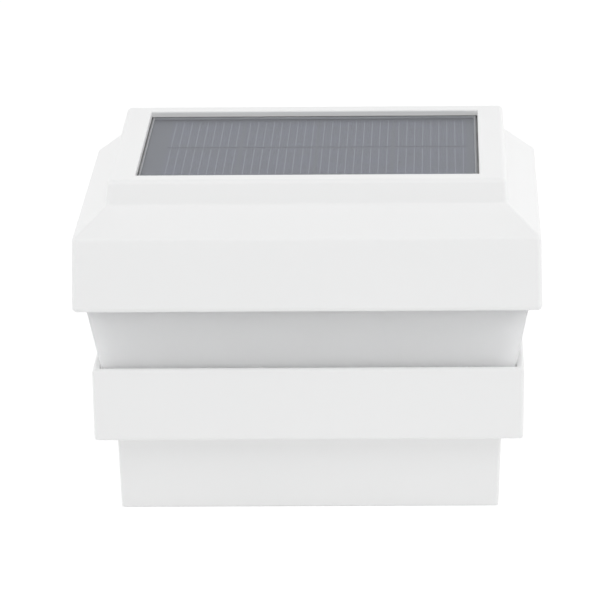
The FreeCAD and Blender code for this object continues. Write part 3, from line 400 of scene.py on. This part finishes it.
def makeCover(look):
    material, tree = startMaterial("panel_clear")
    place = put(tree, "TexCoord").outputs["Object"]
    ripple = noise(tree, place, look["rippleScale"], 2.0)
    matte = noise(tree, place, look["matteScale"], 2.0)
    normal = raised(tree, matte, look["matteDepth"], raised(tree, ripple, look["rippleDepth"]))
    haze = put(tree, "BsdfDiffuse", {"Color": rgb(look["haze"]), "Normal": normal})
    clear = put(tree, "BsdfTransparent", {"Color": rgb(look["tint"])})
    body = put(tree, "MixShader", {0: look["hazeShare"], 1: clear.outputs[0], 2: haze.outputs[0]})
    # The cut faces and bevels are ground, the level faces are clear
    upright = put(tree, "SeparateXYZ", {0: put(tree, "TexCoord").outputs["Normal"]}).outputs["Z"]
    level = put(tree, "Math", {0: upright}, operation="ABSOLUTE").outputs[0]
    cutFace = between(tree, level, 1.0, 0.0, look["cutFull"], look["cutFrom"])
    frosted = put(tree, "BsdfDiffuse", {"Color": rgb(look["cutEdge"]), "Normal": normal})
    body = put(tree, "MixShader", {0: cutFace, 1: body.outputs[0], 2: frosted.outputs[0]})
    gloss = put(tree, "BsdfGlossy", {
        "Color": rgb(look["gloss"]),
        "Roughness": look["rough"],
        "Normal": normal,
    })
    edge = put(tree, "Fresnel", {"IOR": look["ior"], "Normal": normal}).outputs["Fac"]
    inside = put(tree, "NewGeometry").outputs["Backfacing"]
    outer = put(tree, "Math", {0: 1.0, 1: inside}, operation="SUBTRACT").outputs[0]
    edge = put(tree, "Math", {0: edge, 1: outer}, operation="MULTIPLY").outputs[0]
    mixed = put(tree, "MixShader", {0: edge, 1: body.outputs[0], 2: gloss.outputs[0]})
    finishMaterial(tree, mixed.outputs["Shader"])
    return material


# Black sealant bead in the slit between the cover and the window's wall, with a thin dark strip over the
# cover's back edge that is painted shade along the foot of the back wall
def buildBead(layout, low, high, wall, foot):
    bm = bmesh.new()
    top = high.z - layout["beadSink"]
    inner = [(low.x, low.y), (high.x, low.y), (high.x, high.y), (low.x, high.y)]
    outer = [(-wall, -wall), (wall, -wall), (wall, wall), (-wall, wall)]
    rings = []
    for near, far in zip(inner, outer):
        points = [(near, foot), (near, top), (far, top), (far, foot)]
        rings.append([bm.verts.new((place[0], place[1], level)) for place, level in points])
    for index, ring in enumerate(rings):
        after = rings[(index + 1) % len(rings)]
        for side in range(4):
            other = (side + 1) % 4
            bm.faces.new((ring[side], after[side], after[other], ring[other]))
    # Thin dark strip with a wavy front over the cover's back edge: painted shade along the foot of the
    # window's back wall
    steps, waves = layout["shadeStripSteps"], layout["shadeStripWaves"]
    front = []
    for step in range(steps + 1):
        share = step / steps
        wave = sum(strength * math.sin(share * turn + start) for turn, strength, start in waves)
        x = low.x + share * (high.x - low.x)
        front.append((x, high.y - layout["shadeStripReach"] - wave * layout["shadeStripWave"]))
    outline = front + [(wall, wall), (-wall, wall)]
    addOutline(bm, outline, high.z + layout["skinLift"], high.z + layout["shadeStripHeight"])
    return bm


def buildPanel(layout):
    cellMaterial = makeSilicon(siliconLook)
    fingerMaterial = workedMetal("finger_silver", fingerLook)
    boxLow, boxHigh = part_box("solar_cells")
    coverLow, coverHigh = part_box("panel_cover")
    gapX, gapY = layout["gapAcross"], layout["gapAlong"]
    width = (boxHigh.x - boxLow.x - (layout["columns"] - 1) * gapX) / layout["columns"]
    depth = (boxHigh.y - boxLow.y - (layout["rows"] - 1) * gapY) / layout["rows"]
    face = boxHigh.z - layout["cellSink"]
    cells = bmesh.new()
    fingers = bmesh.new()
    cut = layout["cornerCut"]
    for row in range(layout["rows"]):
        for column in range(layout["columns"]):
            left = boxLow.x + column * (width + gapX)
            front = boxLow.y + row * (depth + gapY)
            right, back = left + width, front + depth
            outline = [(left + cut, front), (right - cut, front), (right, front + cut), (right, back - cut),
                       (right - cut, back), (left + cut, back), (left, back - cut), (left, front + cut)]
            addOutline(cells, outline, boxLow.z, face)
            middle = (left + right) / 2
            for index in range(layout["fingersPerCell"]):
                x = middle + (index - (layout["fingersPerCell"] - 1) / 2) * layout["fingerPitch"]
                half = layout["fingerWidth"] / 2
                low = (x - half, front + layout["fingerInset"], face)
                high = (x + half, back - layout["fingerInset"], face + layout["fingerHeight"])
                addBlock(fingers, low, high)
    cellPiece = meshPiece("solar_cell_wafers", cells, cellMaterial, "lid")
    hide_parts("solar_cells")
    meshPiece("cell_fingers", fingers, fingerMaterial, "lid")

    inset = Vector((layout["coverInset"], layout["coverInset"], 0))
    shift = Vector((layout["coverShift"], 0, 0))
    low = coverLow + inset + shift
    high = coverHigh - inset + shift
    low.z = boxHigh.z + layout["coverLift"]
    cover = bmesh.new()
    addBlock(cover, low, high, layout["coverBevel"], 3)
    coverPiece = meshPiece("panel_clear_cover", cover, makeCover(coverLook), "lid")
    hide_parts("panel_cover")

    # Grey strips along the cover's left and right edges: painted highlights standing in for the grazing
    # reflection off the cover's edges
    lines = bmesh.new()
    for edge, way in ((low.x, 1), (high.x, -1)):
        near = edge + way * layout["highlightInset"]
        start, end = sorted((near, near + way * layout["highlightWidth"]))
        addBlock(lines, (start, low.y + layout["highlightInset"], high.z - layout["wallGap"]),
                 (end, high.y - layout["highlightInset"], high.z + layout["skinLift"]))
    meshPiece("cover_painted_highlights", lines, fingerMaterial, "lid")

    # Sealant bead in the slit, and the painted shade strip over the cover's back edge
    gap = Vector((layout["wallGap"], layout["wallGap"], 0))
    bead = buildBead(layout, low - gap, high + gap, layout["windowHalf"] - layout["wallGap"], boxHigh.z)
    meshPiece("panel_bead_and_painted_shade", bead, nodeMaterials["panel_sealant"], "lid")


# Fillers, metals and parts inside the module

sealantLook = {"toneLow": (0.012, 0.012, 0.013), "toneHigh": (0.03, 0.03, 0.032), "cellScale": 500.0,
               "cellDepth": 0.00004, "patchScale": 90.0, "roughLow": 0.3, "roughHigh": 0.5}
foamLook = {"toneLow": (0.13, 0.13, 0.135), "toneHigh": (0.2, 0.2, 0.205), "cellScale": 2600.0,
            "cellDepth": 0.00012, "patchScale": 300.0, "roughLow": 0.85, "roughHigh": 0.98}
zincLook = {"toneLow": (0.52, 0.53, 0.56), "toneHigh": (0.70, 0.71, 0.74), "metallic": 1.0,
            "brush": (1.0, 1.0, 0.15), "brushScale": 3000.0, "brushDepth": 0.000006, "scuffScale": 900.0,
            "roughLow": 0.24, "roughHigh": 0.48}
nickelLook = dict(zincLook, toneLow=(0.60, 0.57, 0.52), toneHigh=(0.74, 0.71, 0.66), roughLow=0.2,
                  roughHigh=0.4)
canLook = dict(zincLook, toneLow=(0.55, 0.55, 0.56), toneHigh=(0.66, 0.66, 0.67), brush=(0.1, 1.0, 1.0))
capacitorLook = dict(zincLook, toneLow=(0.62, 0.63, 0.65), toneHigh=(0.74, 0.75, 0.77), roughLow=0.3)
copperLook = dict(zincLook, toneLow=(0.55, 0.20, 0.07), toneHigh=(0.72, 0.30, 0.12), roughLow=0.25,
                  roughHigh=0.45, scuffScale=500.0)
ferriteLook = dict(knobPlastic, toneLow=(0.030, 0.030, 0.032), toneHigh=(0.065, 0.064, 0.064), roughLow=0.6,
                   roughHigh=0.85, grainScale=2600.0, grainDepth=0.00003)
chipLook = dict(knobPlastic, toneLow=(0.016, 0.016, 0.018), toneHigh=(0.03, 0.03, 0.032), roughLow=0.5,
                roughHigh=0.7, grainScale=5200.0)
ceramicLook = dict(knobPlastic, toneLow=(0.02, 0.02, 0.024), toneHigh=(0.05, 0.05, 0.056), roughLow=0.3,
                   roughHigh=0.45)
sleeveLook = dict(whiteMoulding, toneLow=(0.04, 0.20, 0.085), toneHigh=(0.06, 0.25, 0.11), grainScale=700.0,
                  grainDepth=0.00001, sinkScale=120.0, sinkDepth=0.0001, roughLow=0.22, roughHigh=0.34)
redLeadLook = dict(whiteMoulding, toneLow=(0.48, 0.018, 0.014), toneHigh=(0.60, 0.03, 0.024), roughLow=0.35)
blackLeadLook = dict(whiteMoulding, toneLow=(0.012, 0.012, 0.013), toneHigh=(0.03, 0.03, 0.032),
                     roughLow=0.35)
boardLook = {"maskTone": (0.020, 0.13, 0.055), "maskFaint": (0.028, 0.17, 0.075), "traceScale": 260.0,
             "traceGap": 0.03, "traceFaint": 0.8, "traceDepth": 0.00003, "fineScale": 1500.0,
             "roughLow": 0.28, "roughHigh": 0.42, "coat": 0.4}
diodeLook = {"tone": (0.93, 0.94, 0.90), "passed": 0.85, "ior": 1.5, "roughLow": 0.08, "roughHigh": 0.16,
             "flowScale": 600.0, "flowDepth": 0.00001}


def makeCircuitBoard(look):
    material, tree = startMaterial("circuit_laminate")
    place = put(tree, "TexCoord").outputs["Object"]
    faint = look["traceFaint"]
    tracks = put(tree, "TexBrick", {
        "Vector": place,
        "Scale": look["traceScale"],
        "Mortar Size": look["traceGap"],
        "Color1": (1, 1, 1, 1),
        "Color2": (faint, faint, faint, 1),
        "Mortar": (0, 0, 0, 1),
    }).outputs["Color"]
    height = put(tree, "SeparateColor", {"Color": tracks}).outputs["Red"]
    fine = noise(tree, place, look["fineScale"])
    shader = put(tree, "BsdfPrincipled", {
        "Base Color": blendTones(tree, height, look["maskTone"], look["maskFaint"], 0.0, 1.0),
        "Roughness": between(tree, fine, look["roughLow"], look["roughHigh"]),
        "Normal": raised(tree, height, look["traceDepth"]),
        "Coat Weight": look["coat"],
    })
    finishMaterial(tree, shader.outputs["BSDF"])
    return material


def makeDiode(look):
    material, tree = startMaterial("diode_clear")
    place = put(tree, "TexCoord").outputs["Object"]
    flow = noise(tree, place, look["flowScale"], 2.0)
    shader = put(tree, "BsdfPrincipled", {
        "Base Color": rgb(look["tone"]),
        "Transmission Weight": look["passed"],
        "Roughness": between(tree, flow, look["roughLow"], look["roughHigh"]),
        "IOR": look["ior"],
        "Normal": raised(tree, flow, look["flowDepth"]),
    })
    finishMaterial(tree, shader.outputs["BSDF"])
    return material


print("solar panel and light module")
zincMetal = workedMetal("zinc_plate", zincLook)
nickelMetal = workedMetal("nickel_plate", nickelLook)
nodeMaterials = {
    "post_base": whitePlastic,
    "lid_shell": whitePlastic,
    "lens": lensMaterial,
    "module_housing": modulePlastic,
    "battery_door": doorPlastic,
    "panel_board": makeLaminate(laminateLook),
    "panel_sealant": softFiller("black_sealant", sealantLook),
    "housing_gasket": softFiller("grey_foam", foamLook),
    "door_foam": softFiller("door_foam_grey", foamLook),
    "lens_screws": zincMetal,
    "module_screws": zincMetal,
    "board_screws": zincMetal,
    "circuit_board": makeCircuitBoard(boardLook),
    "light_emitting_diodes": makeDiode(diodeLook),
    "control_chip": mouldedPlastic("chip_black", chipLook),
    "smoothing_capacitor": workedMetal("capacitor_can", capacitorLook),
    "resistors": mouldedPlastic("resistor_ceramic", ceramicLook),
    "inductor_core": mouldedPlastic("ferrite", ferriteLook),
    "inductor_winding": workedMetal("copper_wire", copperLook),
    "switch_body": switchMaterial,
    "switch_knob": knobMaterial,
    "battery_cans": workedMetal("battery_steel", canLook),
    "battery_sleeves": mouldedPlastic("battery_sleeve", sleeveLook),
    "battery_springs": nickelMetal,
    "bridge_contact": nickelMetal,
    "positive_contact": nickelMetal,
    "negative_contact": nickelMetal,
    "panel_lead_red": mouldedPlastic("lead_red", redLeadLook),
    "battery_lead_red": mouldedPlastic("lead_red_short", redLeadLook),
    "panel_lead_black": mouldedPlastic("lead_black", blackLeadLook),
    "battery_lead_black": mouldedPlastic("lead_black_short", blackLeadLook),
}
for nodeName, material in nodeMaterials.items():
    node = nodes[nodeName]
    node.data.materials.clear()
    node.data.materials.append(material)
    for face in node.data.polygons:
        face.material_index = 0
buildPanel(panelLayout)


# Small parts of the circuit board, each set against the CAD piece that it belongs to

solderLook = dict(zincLook, toneLow=(0.60, 0.60, 0.62), toneHigh=(0.78, 0.78, 0.80), brush=(1.0, 1.0, 1.0),
                  brushScale=700.0, roughLow=0.14, roughHigh=0.3)
phosphorLook = dict(whiteMoulding, toneLow=(0.80, 0.62, 0.10), toneHigh=(0.88, 0.72, 0.18), grainScale=9000.0,
                    roughLow=0.3, roughHigh=0.5)
chipLegs = {
    "count": 4,
    "pitch": 1.27 * mm,
    "width": 0.42 * mm,
    "thick": 0.16 * mm,
    "shoulder": 0.45 * mm,
    "foot": 0.6 * mm,
}
resistorEnds = {
    "count": 4,
    "pitch": 2.4 * mm,
    "wrap": 0.35 * mm,
    "proud": 0.02 * mm,
    "fillet": 0.3 * mm,
}
coilWire = {
    "turns": 10,
    "wire": 0.135 * mm,
    "steps": 28,
    "sides": 8,
}
capacitorWrap = {
    "thick": 0.07 * mm,
    "foot": 0.5 * mm,
    "lip": 0.6 * mm,
    "sink": 0.1 * mm,
}
diodeInside = {
    "flangeRadius": 2.9 * mm,
    "postSpread": 1.27 * mm,
    "postHalf": 0.25 * mm,
    "cupLevel": 3.7 * mm,  # cup's foot above the dome's tip
    "cupRadius": 1.05 * mm,
    "cupMouth": 0.95 * mm,
    "cupFloor": 0.45 * mm,
    "cupDepth": 0.7 * mm,
    "cupHeight": 1.1 * mm,
    "cupTip": 0.02 * mm,
    "glowFoot": 0.35 * mm,  # phosphor's lower and upper face above the cup's foot
    "glowTop": 0.686 * mm,
    "stub": 0.9 * mm,
}
solderDome = {
    "profile": ((1.15, 0.0), (1.0695, 0.2375), (0.775, 0.665), (0.62, 0.95)),  # radius and height in mm
    "smallAcross": 0.7,  # a diode leg's dome as a share of a lead's dome
    "smallUp": 0.8,
}


def buildChipLegs(values):
    low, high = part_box("control_chip")
    bm = bmesh.new()
    half = values["width"] / 2
    thick = values["thick"]
    level = (low.z + high.z) / 2
    for index in range(values["count"]):
        x = (low.x + high.x) / 2 + (index - (values["count"] - 1) / 2) * values["pitch"]
        for wall, way in ((low.y, -1), (high.y, 1)):
            knee = wall + way * values["shoulder"]
            toe = knee + way * values["foot"]
            parts = [(wall - way * thick, knee, level - thick / 2, level + thick / 2),
                     (knee - way * thick, knee, low.z, level + thick / 2),
                     (knee - way * thick, toe, low.z, low.z + thick)]
            for start, end, bottom, top in parts:
                addBlock(bm, (x - half, min(start, end), bottom), (x + half, max(start, end), top), thick / 4)
    meshPiece("chip_legs", bm, solderMetal, "lid")


def buildResistorEnds(values):
    low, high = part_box("resistors")
    width = high.x - low.x - (values["count"] - 1) * values["pitch"]
    proud = values["proud"]
    bm = bmesh.new()
    for index in range(values["count"]):
        left = low.x + index * values["pitch"]
        for wall, way in ((low.y, 1), (high.y, -1)):
            start, end = sorted((wall - way * proud, wall + way * values["wrap"]))
            addBlock(bm, (left - proud, start, low.z), (left + width + proud, end, high.z + proud), proud)
            outer = wall - way * values["fillet"]
            outline = [(wall, low.z), (outer, low.z), (wall, high.z - 4 * proud)]
            ends = [[bm.verts.new((x, y, z)) for y, z in outline] for x in (left, left + width)]
            joinRings(bm, ends)
    meshPiece("resistor_ends", bm, solderMetal, "lid")


def buildCoilWire(values):
    low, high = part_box("inductor_winding")
    wire = values["wire"]
    radius = (high.x - low.x) / 2 - wire
    total = values["turns"] * values["steps"]
    bm = bmesh.new()
    rings = []
    for step in range(total + 1):
        angle = 2 * math.pi * step / values["steps"]
        level = low.z + wire + (high.z - low.z - 2 * wire) * step / total
        ring = []
        for side in range(values["sides"]):
            turn = 2 * math.pi * side / values["sides"]
            away = radius + wire * math.cos(turn)
            x = (low.x + high.x) / 2 + away * math.cos(angle)
            y = (low.y + high.y) / 2 + away * math.sin(angle)
            ring.append(bm.verts.new((x, y, level + wire * math.sin(turn))))
        rings.append(ring)
    joinRings(bm, rings)
    piece = meshPiece("inductor_wire", bm, nodeMaterials["inductor_winding"], "lid", True)
    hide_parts("inductor_winding")


def buildCapacitorWrap(values):
    low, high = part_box("smoothing_capacitor")
    radius = (high.x - low.x) / 2
    height = high.z - low.z
    outer = radius + values["thick"]
    lip = radius - values["lip"]
    profile = [(radius - values["sink"], values["foot"]), (outer, values["foot"]), (outer, height),
               (outer - values["thick"], height + values["thick"]), (lip, height + values["thick"]),
               (lip, height - values["sink"])]
    bm = bmesh.new()
    addTurned(bm, ((low.x + high.x) / 2, (low.y + high.y) / 2, low.z), profile, 40)
    meshPiece("capacitor_wrap", bm, nodeMaterials["control_chip"], "lid")


def buildDiodeInside(values):
    low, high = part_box("light_emitting_diodes")
    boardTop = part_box("circuit_board")[1].z
    flange = values["flangeRadius"]
    metal = bmesh.new()
    glow = bmesh.new()
    foot = low.z + values["cupLevel"]
    deep = values["cupDepth"]
    tip = values["cupTip"]
    for x in (low.x + flange, high.x - flange):
        for y in (low.y + flange, high.y - flange):
            addTurned(metal, (x, y, foot), [
                (tip, deep), (values["cupFloor"], deep), (values["cupMouth"], 0), (values["cupRadius"], 0),
                (values["cupRadius"], values["cupHeight"]), (tip, values["cupHeight"])])
            addTurned(glow, (x, y, foot), [
                (values["cupFloor"], values["glowFoot"]), (values["cupFloor"], values["glowTop"])], 16)
            half = values["postHalf"]
            for way in (-1, 1):
                middle = x + way * values["postSpread"]
                bottom = foot + (values["cupHeight"] / 2 if way < 0 else deep / 2)
                addBlock(metal, (middle - half, y - half, bottom),
                         (middle + half, y + half, boardTop + values["stub"]), half / 5)
    meshPiece("diode_frames", metal, nickelMetal, "lid")
    meshPiece("diode_phosphor", glow, mouldedPlastic("diode_phosphor", phosphorLook), "lid")


def buildSolder(values):
    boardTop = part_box("circuit_board")[1].z
    dome = [(across * mm, level * mm) for across, level in values["profile"]]
    hanging = [(across, -level) for across, level in reversed(dome)]
    small = [(across * values["smallAcross"], level * values["smallUp"]) for across, level in dome]
    bm = bmesh.new()
    for name in ("battery_lead_red", "battery_lead_black"):
        low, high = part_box(name)
        addTurned(bm, ((low.x + high.x) / 2, (low.y + high.y) / 2, boardTop), dome)
    for name in ("panel_lead_red", "panel_lead_black"):
        low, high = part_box(name)
        x = (low.x + high.x) / 2
        half = (high.x - low.x) / 2
        addTurned(bm, (x, high.y - half, boardTop), dome)
        addTurned(bm, (x, low.y + half, high.z), hanging)
    low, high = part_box("light_emitting_diodes")
    flange = diodeInside["flangeRadius"]
    for x in (low.x + flange, high.x - flange):
        for y in (low.y + flange, high.y - flange):
            for way in (-1, 1):
                addTurned(bm, (x + way * diodeInside["postSpread"], y, boardTop), small, 16)
    meshPiece("solder_joints", bm, solderMetal, "lid", True)


print("small parts of the circuit board")
solderMetal = workedMetal("solder_tin", solderLook)
buildChipLegs(chipLegs)
buildResistorEnds(resistorEnds)
buildCoilWire(coilWire)
buildCapacitorWrap(capacitorWrap)
buildDiodeInside(diodeInside)
buildSolder(solderDome)


# Marks: raised words beside the switch, and the poles of the battery cells

switchWords = {
    "height": 2.6 * mm,
    "proud": 0.15 * mm,
    "off": -6.6 * mm,  # middle of each word from the middle of the switch
    "on": 6.0 * mm,
}
poleMarks = {
    "fromEnd": 9.0 * mm,
    "length": 3.6 * mm,
    "width": 0.8 * mm,
    "proud": 0.04 * mm,
    "sink": 0.1 * mm,
}


def buildWord(name, word, place, values):
    outline = bpy.data.curves.new(name, "FONT")
    outline.body = word
    outline.size = values["height"]
    outline.extrude = values["proud"]
    outline.align_x = "CENTER"
    outline.align_y = "CENTER"
    holder = bpy.data.objects.new(name + "_outline", outline)
    bpy.context.scene.collection.objects.link(holder)
    bpy.context.view_layer.update()
    mesh = bpy.data.meshes.new_from_object(holder)
    mesh.transform(Matrix.Translation(place) @ Matrix.Rotation(math.pi, 4, "X"))
    bpy.data.objects.remove(holder)
    bm = bmesh.new()
    bm.from_mesh(mesh)
    bpy.data.meshes.remove(mesh)
    meshPiece(name, bm, modulePlastic, "lid")


def buildPoleMarks(values):
    low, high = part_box("battery_sleeves")
    bm = bmesh.new()
    quarter = (high.y - low.y) / 4
    long, thin = values["length"] / 2, values["width"] / 2
    bottom, top = low.z - values["proud"], low.z + values["sink"]
    for y, way in ((low.y + quarter, 1), (high.y - quarter, -1)):
        plus = high.x - values["fromEnd"] if way > 0 else low.x + values["fromEnd"]
        minus = low.x + values["fromEnd"] if way > 0 else high.x - values["fromEnd"]
        addBlock(bm, (plus - long, y - thin, bottom), (plus + long, y + thin, top))
        addBlock(bm, (plus - thin, y - long, bottom), (plus + thin, y - thin, top))
        addBlock(bm, (plus - thin, y + thin, bottom), (plus + thin, y + long, top))
        addBlock(bm, (minus - thin, y - long, bottom), (minus + thin, y + long, top))
    meshPiece("battery_pole_marks", bm, whitePlastic, "lid")


print("marks")
switchLow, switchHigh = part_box("switch_body")
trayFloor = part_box("module_housing")[0].z
middle = (switchLow + switchHigh) / 2
for word in ("off", "on"):
    place = (middle.x + switchWords[word], middle.y, trayFloor)
    buildWord("switch_word_" + word, word.upper(), place, switchWords)
buildPoleMarks(poleMarks)


# Floor, world and lamps

studio = {
    "floorHalf": 3.0,
    "floorGlow": 0.86,
    "floorTone": 0.22,
    "paperTone": 0.93,
    "floorLift": 0.06,
    "skyStrength": 0.53,
    "skyTone": (0.985, 0.992, 1.0),
    "lampAim": (0.0, 0.0, 0.05),
    "topLamp": 9.2,
    "topLampSize": (1.6, 1.6),
    "topLampPlace": (0.0, -0.9, 1.5),
    "frontLamp": 2.4,
    "frontLampSize": (1.5, 1.5),
    "frontLampPlace": (0.1, -2.2, 0.8),
    "backLamp": 12.0,
    "backLampSize": (3.0, 1.2),
    "backLampPlace": (0.0, 2.4, 0.8),
    "leftLamp": 10.0,
    "leftLampSize": (1.8, 1.2),
    "leftLampPlace": (-2.3, 0.3, 0.8),
    "rightLamp": 14.0,
    "rightLampSize": (1.8, 1.2),
    "rightLampPlace": (2.3, 0.3, 0.8),
}


def seenRays(tree):
    # 1 for what is looked at, reflected or seen through glass; 0 for the light that falls on the object
    rays = put(tree, "LightPath").outputs
    seen = rays["Is Camera Ray"]
    for kind in ("Is Glossy Ray", "Is Transmission Ray"):
        seen = put(tree, "Math", {0: seen, 1: rays[kind]}, operation="MAXIMUM").outputs[0]
    return seen


def makeFloor(values):
    bm = bmesh.new()
    half = values["floorHalf"]
    corners = [bm.verts.new((x * half, y * half, 0.0)) for x, y in ((-1, -1), (1, -1), (1, 1), (-1, 1))]
    bm.faces.new(corners)
    mesh = bpy.data.meshes.new("studio_floor")
    bm.to_mesh(mesh)
    bm.free()
    floor = bpy.data.objects.new("studio_floor", mesh)
    bpy.context.scene.collection.objects.link(floor)
    material, tree = startMaterial("studio_paper")
    tone = values["floorTone"]
    white = values["paperTone"]
    matt = put(tree, "BsdfDiffuse", {"Color": (white, white, white, 1)})
    lift = put(tree, "Emission", {"Strength": values["floorLift"]})
    paper = put(tree, "AddShader", {0: matt.outputs[0], 1: lift.outputs[0]})
    faint = put(tree, "BsdfDiffuse", {"Color": (tone, tone, tone, 1)})
    glow = put(tree, "Emission", {"Strength": values["floorGlow"]})
    shown = put(tree, "AddShader", {0: faint.outputs[0], 1: glow.outputs[0]})
    mixed = put(tree, "MixShader", {0: seenRays(tree), 1: paper.outputs[0], 2: shown.outputs[0]})
    # From below the floor is open, so that the underside can be looked at
    under = put(tree, "NewGeometry").outputs["Backfacing"]
    passing = put(tree, "BsdfTransparent")
    mixed = put(tree, "MixShader", {0: under, 1: mixed.outputs[0], 2: passing.outputs[0]})
    finishMaterial(tree, mixed.outputs["Shader"])
    mesh.materials.append(material)


def makeWorld(values):
    world = bpy.data.worlds.new("studio_world")
    bpy.context.scene.world = world
    world.use_nodes = True
    tree = world.node_tree
    tree.nodes.clear()
    light = put(tree, "Background", {"Color": rgb(values["skyTone"]), "Strength": values["skyStrength"]})
    white = put(tree, "Background", {"Color": (1, 1, 1, 1), "Strength": 1.0})
    mixed = put(tree, "MixShader", {0: seenRays(tree), 1: light.outputs[0], 2: white.outputs[0]})
    put(tree, "OutputWorld", {"Surface": mixed.outputs["Shader"]})


def makeLamp(name, place, target, power, width, height):
    data = bpy.data.lights.new(name, "AREA")
    data.energy = power
    data.shape = "RECTANGLE"
    data.size = width
    data.size_y = height
    lamp = bpy.data.objects.new(name, data)
    bpy.context.scene.collection.objects.link(lamp)
    lamp.location = place
    lamp.visible_glossy = False
    lamp.rotation_mode = "QUATERNION"
    lamp.rotation_quaternion = (Vector(target) - Vector(place)).to_track_quat("-Z", "Y")


print("studio")
makeFloor(studio)
makeWorld(studio)
for side in ("top", "front", "back", "left", "right"):
    makeLamp("softbox_" + side, studio[side + "LampPlace"], studio["lampAim"], studio[side + "Lamp"],
             *studio[side + "LampSize"])


# Camera: long lens, a little above the object and turned slightly round it

view = {
    "yaw": 1.46,  # degrees
    "height": 12.57,
    "roll": -0.6,
    "lens": 341.85,
    "sensor": 36.0,
    "near": 0.1,
    "far": 20.0,
    "distance": 1.77975,
    "target": (-0.00232, 0.0, 0.04927),
}


def makeCamera(values):
    yaw, height, roll = (math.radians(values[key]) for key in ("yaw", "height", "roll"))
    ahead = Vector((-math.sin(yaw) * math.cos(height), math.cos(yaw) * math.cos(height), -math.sin(height)))
    side = Vector((math.cos(yaw), math.sin(yaw), 0.0))
    over = side.cross(ahead)
    right = math.cos(roll) * side + math.sin(roll) * over
    up = -math.sin(roll) * side + math.cos(roll) * over
    place = Vector(values["target"]) - ahead * values["distance"]
    data = bpy.data.cameras.new("camera")
    data.sensor_width = values["sensor"]
    data.lens = values["lens"]
    data.clip_start = values["near"]
    data.clip_end = values["far"]
    camera = bpy.data.objects.new("camera", data)
    bpy.context.scene.collection.objects.link(camera)
    turn = Matrix((right, up, -ahead)).transposed().to_4x4()
    camera.matrix_world = Matrix.Translation(place) @ turn
    bpy.context.scene.camera = camera


makeCamera(view)
bpy.context.scene.view_settings.view_transform = "Standard"

bpy.context.view_layer.update()
